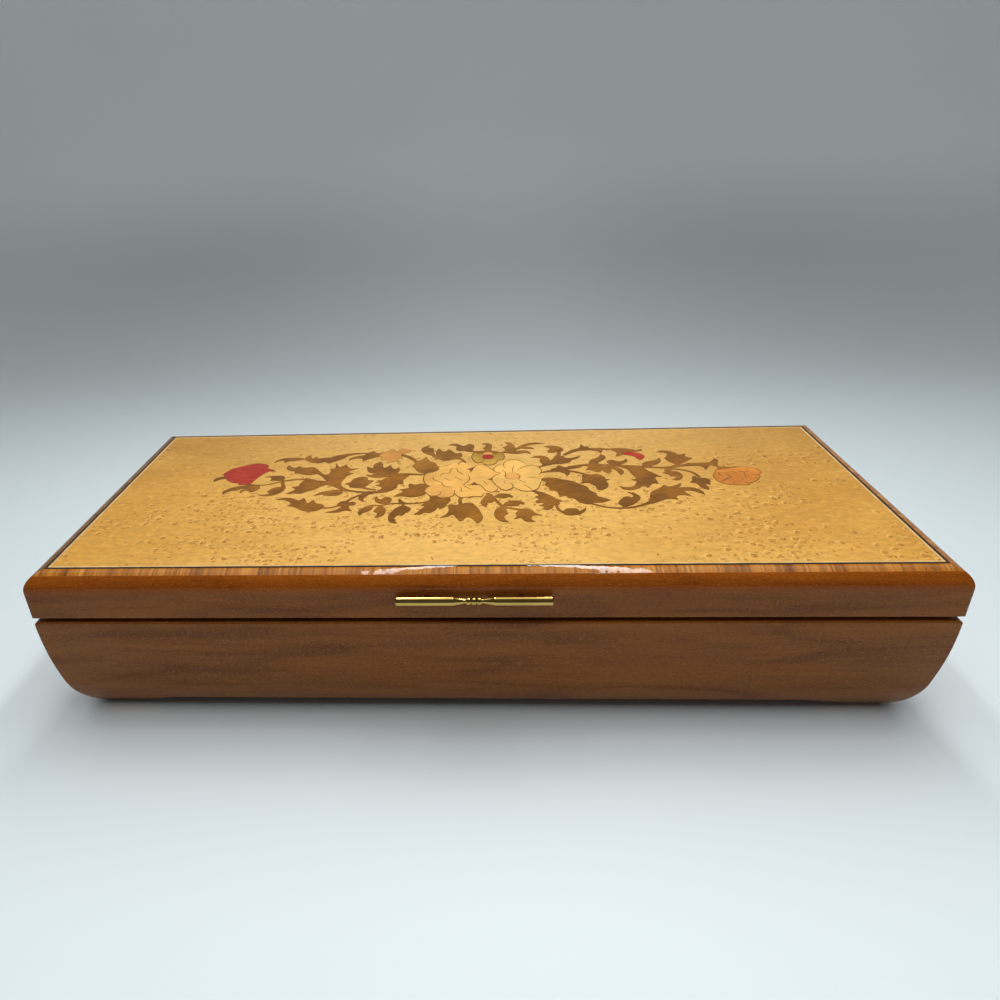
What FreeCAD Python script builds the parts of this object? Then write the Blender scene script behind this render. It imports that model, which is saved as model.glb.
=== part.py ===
import FreeCAD, Part
import math
import os
import re

import Sketcher
from FreeCAD import Placement, Rotation, Vector

# A jewelry box with a musical movement: a hull-shaped case on corner feet, a hinged lid with an inlaid
# top, lined compartments, and the movement in its own bay under a clear window.
# Millimetres. The origin is the middle of the footprint, +Z is up and the handle looks along -Y.

SIZES = {
    # case walls
    "case_length": 302,
    "case_depth": 129,
    "rim_height": 43,
    "wall_thickness": 15,
    # sides of the small round pieces, which are drawn as prisms
    "round_sides": 12,
    "thread_sides": 6,
    "hull_knee_inset": 2.15,
    "hull_knee_height": 16,
    "hull_foot_inset": 10.3,
    "edge_ease": 0.5,
    "foot_length": 11,
    "arch_run": 19,
    "arch_rise": 5,
    # bottom board
    "board_height": 11,
    "board_thickness": 4,
    "board_clearance": 0.2,
    "groove_depth": 5,
    # lid
    "lid_gap": 1.5,
    "lid_height": 16.5,
    "edge_round": 6,
    "veneer_thickness": 1,
    "lid_board_thickness": 5,
    "lid_card_thickness": 1.5,
    "lid_rebate": 8,
    "lip_clearance": 0.8,
    "string_dark_width": 0.5,
    "string_light_width": 0.8,
    # lining and dividers
    "lining_thickness": 2,
    "lip_height": 5.2,
    "soft_gap": 0.3,
    "divider_thickness": 2,
    "divider_drop": 1,
    "floor_pad_thickness": 2,
    "ring_bay_width": 84,
    "roll_count": 7,
    "roll_height": 23,
    "roll_facets": 8,
    # hinges
    "hinge_spacing": 190,
    "hinge_length": 25,
    "leaf_width": 8.5,
    "leaf_thickness": 1,
    "knuckle_radius": 1.5,
    "knuckle_count": 3,
    "knuckle_gap": 0.15,
    "pin_offset": 1.5,
    "pin_radius": 0.75,
    "running_gap": 0.05,
    "hinge_screw_pitch": 14,
    "hinge_screw_count": 2,
    "hinge_screw_radius": 0.7,
    "hinge_screw_head": 1.4,
    "hinge_screw_length": 7,
    "hinge_screw_head_height": 0.6,
    # handle
    "handle_length": 50,
    "handle_radius": 1.6,
    "handle_offset": -2,
    "handle_drop": 8,
    "handle_reach": 4,
    "handle_waist": 12.7,
    "handle_waist_radius": 0.75,
    "bead_radius": 1.2,
    "bead_pitch": 1.65,
    "bead_count": 3,
    "stud_spacing": 30,
    "stud_radius": 0.8,
    "stud_set_back": 0.3,
    "nut_radius": 1.85,
    "nut_thickness": 1.3,
    "nut_recess": 2,
    "nut_recess_height": 3.5,
    # movement: bedplate
    "movement_margin": 2.5,
    "start_room": 5.5,
    "bedplate_length": 66,
    "bedplate_depth": 46,
    "bedplate_thickness": 2.5,
    "bedplate_corner": 3,
    "axis_from_back": 21.5,
    "axis_height": 13.5,
    # movement: teeth, in modules
    "tooth_addendum": 0.9,
    "tooth_dedendum": 1.25,
    "tooth_backlash": 0.2,
    "tooth_root_share": 1.45,
    "tooth_tip_share": 0.5,
    # movement: spring barrel
    "barrel_from_left": 13.5,
    "barrel_float": 0.3,
    "barrel_wall": 2,
    "barrel_floor": 1,
    "crown_teeth": 40,
    "crown_module": 0.6,
    "crown_width": 1.6,
    "crown_land": 0.2,
    "spring_turns": 5,
    "spring_facets": 12,
    "spring_strip": 0.3,
    "bridge_width": 8,
    "bridge_thickness": 1.2,
    "bridge_clearance": 1,
    "bridge_foot": 5.5,
    "arbor_radius": 1.5,
    "key_hole_clearance": 0.8,
    # movement: key
    "key_bottom": 2.3,
    "key_top_gap": 0.6,
    "key_hub_radius": 2.6,
    "key_lobe_radius": 3.2,
    "key_lobe_reach": 8,
    "key_thickness": 1.4,
    "key_web_height": 4,
    # movement: pinned cylinder and comb
    "pinion_teeth": 10,
    "cylinder_arbor_radius": 1,
    "bracket_gap": 0.7,
    "bracket_thickness": 1.5,
    "bracket_width": 9,
    "bracket_foot": 5,
    "foot_thickness": 1.2,
    "drum_gap": 1.3,
    "drum_radius": 6,
    "drum_sides": 30,
    "note_pin_height": 0.7,
    "note_pin_width": 0.4,
    "note_pins_per_tooth": 2,
    "comb_teeth": 18,
    "comb_inset": 0.6,
    "comb_thickness": 1,
    "comb_slot": 0.3,
    "comb_front": 2,
    "comb_heel": 6,
    "comb_slant": 3,
    "comb_tip_gap": 0.12,
    # movement: train and governor
    "wheel_gap": 0.6,
    "wheel_thickness": 1.2,
    "great_teeth": 36,
    "leaf_teeth": 9,
    "train_module": 0.4,
    "relay_arbor_radius": 0.6,
    "worm_wheel_teeth": 24,
    "worm_module": 0.35,
    "worm_starts": 2,
    "worm_radius": 1.4,
    "worm_half_turns": 5,
    "governor_pivot_radius": 0.5,
    "fan_radius": 4.6,
    "fan_height": 4.8,
    "fan_thickness": 0.4,
    "fan_hub_radius": 1.2,
    "fan_float": 1.3,
    "fan_clearance": 0.6,
    "frame_thickness": 1,
    "frame_headroom": 0.9,
    "frame_margin": 2.5,
    "frame_inset": 2.6,
    # movement: screws
    "screw_radius": 0.9,
    "screw_head": 1.7,
    "screw_head_height": 1.2,
    "screw_length": 3,
    "mount_screw_radius": 1.2,
    "mount_screw_head": 2.5,
    "mount_screw_head_height": 1.6,
    "mount_screw_inset": 4,
    "screw_gap": 0.05,
    # start pin
    "start_travel": 3.5,
    "start_from_wall": 2.8,
    "start_pin_radius": 0.9,
    "start_pin_bottom": 1.3,
    "start_arm_low": 5,
    "start_collar": 12,
    "start_collar_radius": 1.6,
    "start_collar_height": 0.8,
    "start_stop_gap": 0.3,
    "start_wire": 0.6,
    "start_wire_overlap": 3,
    "start_half_width": 3,
    "start_sheet": 0.8,
    "start_foot_width": 5,
    "start_foot_length": 11,
    "start_spring_radius": 1.4,
    # window over the movement
    "pane_thickness": 2,
    "ledge_size": 3,
    "pane_gap": 0.3,
    "pane_hole_clearance": 0.7,
}

# Places and sizes that follow from the ones above, each written once.
PLACES = {
    "half_length": "case_length / 2",
    "half_depth": "case_depth / 2",
    "inner_x": "half_length - wall_thickness",
    "inner_y": "half_depth - wall_thickness",
    "lined_x": "inner_x - lining_thickness",
    "lined_y": "inner_y - lining_thickness",
    "hull_top": "rim_height - edge_ease",
    "hull_drop": "hull_top - hull_knee_height",
    "hull_upper_radius": "(hull_knee_inset ^ 2 + hull_drop ^ 2) / (2 * hull_knee_inset)",
    "hull_lower_run": "hull_foot_inset - hull_knee_inset",
    "hull_lean": "hull_lower_run * (hull_upper_radius - hull_knee_inset) - hull_knee_height * hull_drop",
    "hull_lower_share": "(hull_lower_run ^ 2 + hull_knee_height ^ 2) / (2 * hull_lean)",
    "hull_lower_inset": "hull_knee_inset + hull_lower_share * (hull_upper_radius - hull_knee_inset)",
    "hull_lower_height": "hull_knee_height + hull_lower_share * hull_drop",
    "arch_radius": "((arch_run / 2) ^ 2 + (arch_rise / 2) ^ 2) / arch_rise",
    "board_top": "board_height + board_thickness",
    "lid_bottom": "rim_height + lid_gap",
    "lid_top": "lid_bottom + lid_height",
    "under_veneer": "lid_top - veneer_thickness",
    "under_lid_board": "under_veneer - lid_board_thickness",
    "rail_width": "wall_thickness - lip_clearance",
    "round_centre": "lid_top - edge_round",
    "veneer_edge": "edge_round - sqrt(edge_round ^ 2 - (edge_round - veneer_thickness) ^ 2)",
    "dark_edge": "edge_round + string_dark_width",
    "field_edge": "dark_edge + string_light_width",
    "lip_top": "rim_height + lip_height",
    "lid_pad_bottom": "lip_top + soft_gap",
    "divider_top": "rim_height - divider_drop",
    "pin_y": "half_depth + pin_offset",
    "pin_z": "rim_height + lid_gap / 2",
    "knuckle_step": "hinge_length / knuckle_count",
    "handle_y": "-half_depth - handle_reach + handle_radius",
    "handle_z": "lid_top - handle_drop",
    "rail_inside": "rail_width - half_depth",
    # the movement's bay, and the bedplate in it
    "bay_left": "-lined_x",
    "plate_left": "bay_left + movement_margin",
    "plate_right": "plate_left + bedplate_length",
    "bay_right": "plate_right + start_room",
    "plate_back": "lined_y - movement_margin",
    "plate_front": "plate_back - bedplate_depth",
    "plate_top": "board_top + bedplate_thickness",
    "bay_front": "plate_front - movement_margin",
    "main_left": "bay_right + divider_thickness",
    "ring_left": "lined_x - ring_bay_width",
    "roll_pitch": "2 * lined_y / roll_count",
    # the cylinder's axis and the spring barrel's
    "axis_y": "plate_back - axis_from_back",
    "axis_z": "board_top + axis_height",
    "barrel_x": "plate_left + barrel_from_left",
    "crown_radius": "crown_teeth * crown_module / 2",
    "pinion_radius": "pinion_teeth * crown_module / 2",
    "barrel_radius": "crown_radius + crown_width / 2 + crown_land",
    "barrel_bottom": "plate_top + barrel_float",
    "crown_root": "axis_z - pinion_radius - tooth_dedendum * crown_module",
    "crown_tip": "crown_root + (tooth_addendum + tooth_dedendum) * crown_module",
    "bridge_under": "crown_tip + bridge_clearance",
    "bridge_top": "bridge_under + bridge_thickness",
    "bridge_reach": "barrel_radius + bridge_clearance",
    "bridge_side": "bridge_reach + bridge_thickness",
    "bridge_end": "bridge_reach + bridge_foot",
    "pinion_left": "barrel_x + crown_radius - crown_width / 2",
    # along the cylinder
    "bracket_left": "barrel_x + barrel_radius + bracket_gap",
    "bracket_right": "bracket_left + bracket_thickness",
    "drum_left": "bracket_right + drum_gap",
    "frame_end": "plate_right - frame_inset",
    "frame_right": "frame_end - frame_thickness",
    "worm_wheel_right": "frame_right - 2 * wheel_gap",
    "worm_wheel_left": "worm_wheel_right - wheel_thickness",
    "frame_left": "worm_wheel_left - wheel_gap - frame_thickness",
    "wheel_left": "frame_left - wheel_gap - wheel_thickness",
    "drum_length": "wheel_left - wheel_gap - drum_left",
    "note_pin_reach": "drum_radius + note_pin_height",
    "comb_tip": "axis_y - note_pin_reach - comb_tip_gap",
    "comb_left": "drum_left + comb_inset",
    "comb_width": "drum_length - 2 * comb_inset",
    "comb_start": "plate_front + comb_front",
    # across the train
    "relay_y": "axis_y + (great_teeth + leaf_teeth) * train_module / 2",
    "worm_wheel_radius": "worm_wheel_teeth * worm_module / 2",
    "governor_x": "worm_wheel_left + wheel_thickness / 2",
    "governor_y": "relay_y + worm_wheel_radius + worm_radius",
    "fan_bottom": "plate_top + fan_float",
    "fan_top": "fan_bottom + fan_height",
    "frame_base_front": "axis_y - bracket_width / 2",
    "frame_base_back": "axis_y + bracket_width / 2",
    "frame_under": "axis_z + worm_wheel_radius + frame_headroom",
    "frame_top": "frame_under + foot_thickness",
    "frame_foot_back": "governor_y - fan_radius - fan_clearance",
    "frame_over_fan": "fan_top + fan_clearance",
    "frame_front": "relay_y - frame_margin",
    "foot_top": "plate_top + foot_thickness",
    "worm_lead": "worm_starts * worm_module * pi",
    "worm_start": "axis_z - worm_lead * worm_half_turns / 4",
    "worm_root": "worm_radius - tooth_dedendum * worm_module",
    # the start pin
    "start_x": "bay_right - start_from_wall",
    "start_y": "governor_y",
    "start_wall": "bay_right - start_sheet",
    "start_collar_z": "board_top + start_collar",
    "start_arm_high": "start_collar_z + start_collar_height + start_travel + start_stop_gap",
    "start_front": "start_y - start_half_width",
    "start_wire_x": "governor_x + fan_radius + fan_clearance",
    # the window
    "ledge_top": "divider_top - pane_thickness",
}

doc = FreeCAD.newDocument("jewelry_box")
sheet = doc.addObject("Spreadsheet::Sheet", "sizes")
for row, (alias, value) in enumerate(SIZES.items(), start=1):
    sheet.set(f"A{row}", alias)
    sheet.set(f"B{row}", str(value))
    sheet.setAlias(f"B{row}", alias)
doc.recompute()

pieces = []


def formula(text):
    """The text as an expression: each size becomes its cell, and each place is written out."""

    def word(match):
        name = match.group(0)
        if name in PLACES:
            return f"({formula(PLACES[name])})"
        return f"sizes.{name}" if name in SIZES else name

    return re.sub(r"[a-z][a-z_]*", word, text)


def mm(text):
    """The value of a formula."""
    return float(sheet.evalExpression(formula(text)))


def count(text):
    """The value of a formula that counts something."""
    return round(mm(text))


def piece(label, made):
    """Marks an object as a finished piece of the box, under its own label."""
    made.Label = label
    pieces.append(made)
    return made


# Plain forms

ALONG = {"x": Rotation(Vector(0, 1, 0), 90), "y": Rotation(Vector(1, 0, 0), -90), "z": Rotation()}


def place(made, at, turn=Rotation()):
    made.Placement = Placement(Vector(), turn)
    for axis, text in zip("xyz", at):
        made.setExpression(f"Placement.Base.{axis}", formula(text))
    return made


def block(name, low, size):
    """A rectangular form from its lowest corner and its three sides."""
    made = doc.addObject("Part::Box", name)
    for side, text in zip(("Length", "Width", "Height"), size):
        made.setExpression(side, formula(text))
    return place(made, low)


def rod(name, start, radius, length, along="z"):
    """A round form from the centre of its first end."""
    made = doc.addObject("Part::Cylinder", name)
    made.setExpression("Radius", formula(radius))
    made.setExpression("Height", formula(length))
    return place(made, start, ALONG[along])


def prism(name, start, radius, length, sides="round_sides", along="z"):
    """A small round form with flat sides. radius is measured to its corners."""
    made = doc.addObject("Part::Prism", name)
    made.Polygon = count(sides)
    made.setExpression("Circumradius", formula(radius))
    made.setExpression("Height", formula(length))
    return place(made, start, ALONG[along])


def round_hole(name, start, radius, length, along="z"):
    """A flat-sided hole that a round piece of this radius turns in."""
    corners = f"({radius} + running_gap) / cos(180 / round_sides)"
    return prism(name, start, corners, length, along=along)


def joined(name, *parts):
    made = doc.addObject("Part::MultiFuse", name)
    made.Shapes = list(parts)
    return made


def cut(name, base, *tools):
    made = doc.addObject("Part::Cut", name)
    made.Base = base
    made.Tool = tools[0] if len(tools) == 1 else joined(f"{name}_tools", *tools)
    return made


def group(name, *parts):
    """Several like pieces that share one file."""
    made = doc.addObject("Part::Compound", name)
    made.Links = list(parts)
    return made


def shaped(name, shape, at=("0", "0", "0"), turn=Rotation()):
    """A form worked out by a function, set in its place."""
    made = doc.addObject("Part::Feature", name)
    made.Shape = shape
    return place(made, at, turn)


# Sketched forms


def draw_loop(sketch, corners):
    """Adds one closed loop whose corners are held at their formulas.

    A corner is (x, y), or (x, y, centre) where an arc about that centre leads on to the next corner.
    """
    points = [Vector(mm(corner[0]), mm(corner[1])) for corner in corners]
    edges = []
    for corner, start, end in zip(corners, points, points[1:] + points[:1]):
        if len(corner) == 2:
            edges.append((sketch.addGeometry(Part.LineSegment(start, end)), 1, 2))
            continue
        x, y, (centre_x, centre_y) = corner
        centre = Vector(mm(centre_x), mm(centre_y))
        radius = (start - centre).Length
        turns = [math.atan2(point.y - centre.y, point.x - centre.x) for point in (start, end)]
        anticlockwise = (turns[1] - turns[0]) % (2 * math.pi) < math.pi
        low, high = turns if anticlockwise else reversed(turns)
        edge = sketch.addGeometry(Part.ArcOfCircle(Part.Circle(centre, Vector(0, 0, 1), radius), low, high))
        held = sketch.addConstraint(Sketcher.Constraint("Radius", edge, radius))
        reach = f"sqrt(({x} - ({centre_x})) ^ 2 + ({y} - ({centre_y})) ^ 2)"
        sketch.setExpression(f"Constraints[{held}]", formula(reach))
        edges.append((edge, 1, 2) if anticlockwise else (edge, 2, 1))
    for corner, point, before, here in zip(corners, points, edges[-1:] + edges[:-1], edges):
        edge, start_end, _ = here
        sketch.addConstraint(Sketcher.Constraint("Coincident", before[0], before[2], edge, start_end))
        for kind, text, value in (("DistanceX", corner[0], point.x), ("DistanceY", corner[1], point.y)):
            held = sketch.addConstraint(Sketcher.Constraint(kind, -1, 1, edge, start_end, value))
            sketch.setExpression(f"Constraints[{held}]", formula(text))


def draw(body, name, role, *loops):
    """A sketch of closed loops on one of the body's own origin planes."""
    sketch = body.newObject("Sketcher::SketchObject", name)
    plane = next(each for each in body.Origin.OriginFeatures if each.Role == role)
    sketch.AttachmentSupport = [(plane, "")]
    sketch.MapMode = "FlatFace"
    for corners in loops:
        draw_loop(sketch, corners)
    return sketch


def pad(body, sketch, length, side="One side"):
    made = body.newObject("PartDesign::Pad", f"{body.Name}_pad")
    made.Profile = sketch
    made.SideType = side
    made.setExpression("Length", formula(length))
    return made


def pocket(body, sketch, length):
    made = body.newObject("PartDesign::Pocket", f"{sketch.Name}_pocket")
    made.Profile = sketch
    made.SideType = "Symmetric"
    made.setExpression("Length", formula(length))
    return made


def plate(name, left, thickness, *loops):
    """A flat plate square to the cylinder's axis, drawn in (y, z)."""
    body = doc.addObject("PartDesign::Body", name)
    pad(body, draw(body, f"{name}_outline", "YZ_Plane", *loops), thickness)
    return place(body, (left, "0", "0"))


def rectangle(low_x, low_y, high_x, high_y):
    return [(low_x, low_y), (high_x, low_y), (high_x, high_y), (low_x, high_y)]


# Mitred frames: case walls, lid rails, veneer strips and lining

SIDES = {
    "front": ("case_length", "half_depth", 0),
    "right": ("case_depth", "half_length", 90),
    "back": ("case_length", "half_depth", 180),
    "left": ("case_depth", "half_length", 270),
}


def strip(name, side, section):
    """One side of a mitred frame. The section is drawn as (inset from the box's outer side, height)."""
    run, reach, angle = SIDES[side]
    body = doc.addObject("PartDesign::Body", f"{name}_{side}")
    corners = [
        (f"{inset} - {reach}", height, *((f"{across} - {reach}", up) for across, up in curve))
        for inset, height, *curve in section
    ]
    pad(body, draw(body, f"{body.Name}_section", "YZ_Plane", corners), run, "Symmetric")
    mitres = [
        [
            (f"{end} * ({run} / 2 + wall_thickness)", f"-{reach} - wall_thickness"),
            (f"{end} * ({run} / 2 + wall_thickness)", f"-{reach} + 2 * wall_thickness"),
            (f"{end} * ({run} / 2 - 2 * wall_thickness)", f"-{reach} + 2 * wall_thickness"),
        ]
        for end in (-1, 1)
    ]
    pocket(body, draw(body, f"{body.Name}_mitres", "XY_Plane", *mitres), "4 * lid_top")
    body.Placement = Placement(Vector(), Rotation(Vector(0, 0, 1), angle))
    return body


def strips(name, section):
    return [strip(name, side, section) for side in SIDES]


def band(inner, outer, low, high):
    """The section of a strip with straight sides."""
    return rectangle(outer, low, inner, high)


def hull_section():
    """The wall's section: a long flat curve down to the knee, then a tighter one in to the foot."""
    return [
        ("edge_ease", "rim_height"),
        ("wall_thickness", "rim_height"),
        ("wall_thickness", "board_top + board_clearance"),
        ("wall_thickness - groove_depth", "board_top + board_clearance"),
        ("wall_thickness - groove_depth", "board_height"),
        ("wall_thickness", "board_height"),
        ("wall_thickness", "0"),
        ("hull_foot_inset", "0", ("hull_lower_inset", "hull_lower_height")),
        ("hull_knee_inset", "hull_knee_height", ("hull_upper_radius", "hull_top")),
        ("0", "hull_top"),
    ]


def arch(run):
    """The arched gap between two feet: an S of two equal arcs at each end and a straight crown."""
    foot = f"({run} / 2 - hull_foot_inset - foot_length)"
    middle = f"({foot} - arch_run / 2)"
    crown = f"({foot} - arch_run)"
    high = "arch_rise - arch_radius"
    return [
        (f"-{foot}", "-arch_rise"),
        (f"-{foot}", "0", (f"-{foot}", "arch_radius")),
        (f"-{middle}", "arch_rise / 2", (f"-{crown}", high)),
        (f"-{crown}", "arch_rise"),
        (crown, "arch_rise", (crown, high)),
        (middle, "arch_rise / 2", (foot, "arch_radius")),
        (foot, "0"),
        (foot, "-arch_rise"),
    ]


def case_walls():
    walls = {}
    for side, (run, reach, _) in SIDES.items():
        wall = strip("wall", side, hull_section())
        pocket(wall, draw(wall, f"{wall.Name}_arch", "XZ_Plane", arch(run)), f"2 * {reach}")
        walls[side] = wall
    return walls


def lid_rails():
    """Rails with a quarter round along the upper edge and a rebate for the lid board."""
    section = [
        ("edge_ease", "lid_bottom"),
        ("0", "lid_bottom + edge_ease"),
        ("0", "round_centre", ("edge_round", "round_centre")),
        ("veneer_edge", "under_veneer"),
        ("lid_rebate", "under_veneer"),
        ("lid_rebate", "under_lid_board"),
        ("rail_width", "under_lid_board"),
        ("rail_width", "lid_bottom"),
    ]
    return dict(zip(SIDES, strips("rail", section)))


def lid_top():
    """The lid board, the veneer field, its two string lines and the crossband that the round cuts through."""
    inset = "lid_rebate + board_clearance"
    sides = (f"case_length - 2 * ({inset})", f"case_depth - 2 * ({inset})", "lid_board_thickness")
    low = (f"{inset} - half_length", f"{inset} - half_depth", "under_lid_board")
    piece("lid_board", block("lid_board", low, sides))
    sides = ("case_length - 2 * field_edge", "case_depth - 2 * field_edge", "veneer_thickness")
    low = ("field_edge - half_length", "field_edge - half_depth", "under_veneer")
    piece("maple_field", block("maple_field", low, sides))
    light = band("field_edge", "dark_edge", "under_veneer", "lid_top")
    piece("string_light", group("string_light", *strips("light", light)))
    dark = band("dark_edge", "edge_round", "under_veneer", "lid_top")
    piece("string_dark", group("string_dark", *strips("dark", dark)))
    crossband = [
        ("veneer_edge", "under_veneer", ("edge_round", "round_centre")),
        ("edge_round", "lid_top"),
        ("edge_round", "under_veneer"),
    ]
    piece("crossband", group("crossband", *strips("cross", crossband)))


# Hinges


def flat_screw(name, x, y, face, driven, grow="0"):
    """A flat-head wood screw, or with grow its hole. driven is 1 where it goes up, -1 where it goes down."""
    head_z = face if driven > 0 else f"{face} - hinge_screw_head_height"
    length = f"(hinge_screw_length + {grow})"
    stem_z = face if driven > 0 else f"{face} - {length}"
    head = prism(f"{name}_head", (x, y, head_z), f"hinge_screw_head + {grow}", "hinge_screw_head_height")
    stem = prism(f"{name}_stem", (x, y, stem_z), f"hinge_screw_radius + {grow}", length, "thread_sides")
    return joined(name, head, stem)


def hinge_leaf(name, centre, low, first_knuckle):
    """A leaf with every second knuckle of the barrel. low is the underside of its plate."""
    start = f"{centre} - hinge_length / 2"
    sides = ("hinge_length", "leaf_width", "leaf_thickness")
    parts = [block(f"{name}_plate", (start, "half_depth - leaf_width", low), sides)]
    for step in range(first_knuckle, count("knuckle_count"), 2):
        left = f"{start} + {step} * knuckle_step + knuckle_gap / 2"
        wide = "knuckle_step - knuckle_gap"
        web_sides = (wide, "pin_offset", "leaf_thickness")
        parts.append(block(f"{name}_web", (left, "half_depth", low), web_sides))
        parts.append(rod(f"{name}_knuckle", (left, "pin_y", "pin_z"), "knuckle_radius", wide, "x"))
    bore = round_hole(f"{name}_bore", (start, "pin_y", "pin_z"), "pin_radius", "hinge_length", "x")
    return joined(name, *parts), bore


def hinges(back_wall, back_rail):
    """Two butt hinges, let in flush in the case's rim and the lid's underside, with pins and screws."""
    leaves = {"case": [], "lid": []}
    screws = {"case": [], "lid": []}
    mortises = {"case": [], "lid": []}
    pins = []
    halves = {
        "case": ("rim_height - leaf_thickness", "rim_height", -1, 0),
        "lid": ("lid_bottom", "lid_bottom", 1, 1),
    }
    for hinge, sign in (("left", "-1"), ("right", "1")):
        centre = f"({sign} * hinge_spacing / 2)"
        start = f"{centre} - hinge_length / 2"
        for half, (low, face, driven, first_knuckle) in halves.items():
            name = f"{half}_{hinge}"
            holes = []
            for step in range(count("hinge_screw_count")):
                x = f"{centre} + ({step} - (hinge_screw_count - 1) / 2) * hinge_screw_pitch"
                y = "half_depth - leaf_width / 2"
                screws[half].append(flat_screw(f"{name}_screw", x, y, face, driven))
                holes.append(flat_screw(f"{name}_hole", x, y, face, driven, "screw_gap"))
            leaf, bore = hinge_leaf(f"{name}_leaf", centre, low, first_knuckle)
            leaves[half].append(cut(f"{name}_leaf_drilled", leaf, bore, *holes))
            sides = ("hinge_length", "leaf_width + knuckle_radius", "leaf_thickness")
            mortises[half].append(block(f"{name}_mortise", (start, "half_depth - leaf_width", low), sides))
            mortises[half].extend(holes)
        pins.append(rod(f"pin_{hinge}", (start, "pin_y", "pin_z"), "pin_radius", "hinge_length", "x"))
    piece("hinge_leaves_case", group("hinge_leaves_case", *leaves["case"]))
    piece("hinge_leaves_lid", group("hinge_leaves_lid", *leaves["lid"]))
    piece("hinge_screws_case", group("hinge_screws_case", *screws["case"]))
    piece("hinge_screws_lid", group("hinge_screws_lid", *screws["lid"]))
    piece("hinge_pins", group("hinge_pins", *pins))
    piece("case_back", cut("wall_back_let_in", back_wall, *mortises["case"]))
    piece("lid_rail_back", cut("rail_back_let_in", back_rail, *mortises["lid"]))


# Handle


def handle(front_rail):
    """A turned bar, waisted to three beads, on two studs that nuts hold in the back of the lid rail."""
    beads = []
    for step in range(count("bead_count")):
        middle = f"({step} - (bead_count - 1) / 2) * bead_pitch"
        beads.append((f"{middle} - bead_pitch / 2", "handle_waist_radius"))
        beads.append((middle, "bead_radius"))
    profile = [
        ("-handle_length / 2", "0"),
        ("-handle_length / 2", "handle_radius"),
        ("-handle_waist / 2", "handle_radius"),
        *beads,
        ("bead_count * bead_pitch / 2", "handle_waist_radius"),
        ("handle_waist / 2", "handle_radius"),
        ("handle_length / 2", "handle_radius"),
        ("handle_length / 2", "0"),
    ]
    bar = doc.addObject("PartDesign::Body", "turned_bar")
    sketch = draw(bar, "turned_bar_profile", "XY_Plane", profile)
    turning = bar.newObject("PartDesign::Revolution", "turned_bar_turning")
    turning.Profile = sketch
    turning.ReferenceAxis = (sketch, ["H_Axis"])
    turning.Angle = 360
    place(bar, ("handle_offset", "handle_y", "handle_z"))

    studs = []
    nuts = []
    rail_holes = []
    for sign in (-1, 1):
        x = f"handle_offset + {sign} * stud_spacing / 2"
        centre = (x, "handle_y", "handle_z")
        stud_length = "rail_inside - stud_set_back - handle_y"
        studs.append(prism("stud", centre, "stud_radius", stud_length, along="y"))
        nut_foot = (x, "rail_inside - nut_recess", "handle_z")
        nut = prism("nut_blank", nut_foot, "nut_radius", "nut_thickness", "thread_sides", "y")
        stud_hole = round_hole("stud_hole", centre, "stud_radius", "wall_thickness + handle_reach", "y")
        nuts.append(cut("nut", nut, stud_hole))
        recess_low = (f"{x} - nut_recess", "rail_inside - nut_recess", "handle_z - nut_recess_height / 2")
        recess = block("nut_recess", recess_low, ("2 * nut_recess", "2 * nut_recess", "nut_recess_height"))
        rail_holes.extend((stud_hole, recess))
    piece("handle_bar", joined("handle_bar", bar, *studs))
    piece("handle_nuts", group("handle_nuts", *nuts))
    piece("lid_rail_front", cut("rail_front_drilled", front_rail, *rail_holes))


# Lining, dividers and soft pieces


def between(name, left, right, front, back, low, high):
    """A block between six planes."""
    sides = (f"{right} - ({left})", f"{back} - ({front})", f"{high} - ({low})")
    return block(name, (left, front, low), sides)


def lining():
    section = band("wall_thickness + lining_thickness", "wall_thickness", "board_top", "lip_top")
    piece("wall_lining", group("wall_lining", *strips("lining", section)))
    pad_x = "(half_length - rail_width - soft_gap)"
    pad_y = "(half_depth - rail_width - soft_gap)"
    card = "under_lid_board - lid_card_thickness"
    sides = (f"-{pad_x}", pad_x, f"-{pad_y}", pad_y)
    piece("lid_card", between("lid_card", *sides, card, "under_lid_board"))
    piece("lid_pad", between("lid_pad", *sides, "lid_pad_bottom", card))
    bay_front = "bay_front - divider_thickness"
    ring_divider = "ring_left - divider_thickness"
    dividers = {
        "divider_movement": ("bay_right", "main_left", "-lined_y", "lined_y"),
        "divider_bay": ("bay_left", "bay_right", bay_front, "bay_front"),
        "divider_rings": (ring_divider, "ring_left", "-lined_y", "lined_y"),
    }
    for label, sides in dividers.items():
        piece(label, between(label, *sides, "board_top", "divider_top"))
    pad_top = "board_top + floor_pad_thickness"
    floors = {
        "floor_pad_main": ("main_left", ring_divider, "-lined_y", "lined_y"),
        "floor_pad_tray": ("bay_left", "bay_right", "-lined_y", bay_front),
    }
    for label, (left, right, front, back) in floors.items():
        sides = (f"{left} + soft_gap", f"{right} - soft_gap", f"{front} + soft_gap", f"{back} - soft_gap")
        piece(label, between(label, *sides, "board_top", pad_top))


def ring_rolls():
    """Rolls side by side, each flat below and half round above."""
    rolls = []
    half = "(roll_pitch - soft_gap) / 2"
    shoulder = f"board_top + roll_height - {half}"
    for step in range(count("roll_count")):
        middle = f"(({step} + 0.5) * roll_pitch - lined_y)"
        outline = [(f"{middle} - {half}", "board_top"), (f"{middle} + {half}", "board_top")]
        for facet in range(count("roll_facets") + 1):
            turn = f"(180 * {facet} / roll_facets)"
            outline.append((f"{middle} + {half} * cos({turn})", f"{shoulder} + {half} * sin({turn})"))
        name = f"roll_{step + 1}"
        rolls.append(plate(name, "ring_left + soft_gap", "ring_bay_width - 2 * soft_gap", outline))
    piece("ring_rolls", group("ring_rolls", *rolls))


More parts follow.
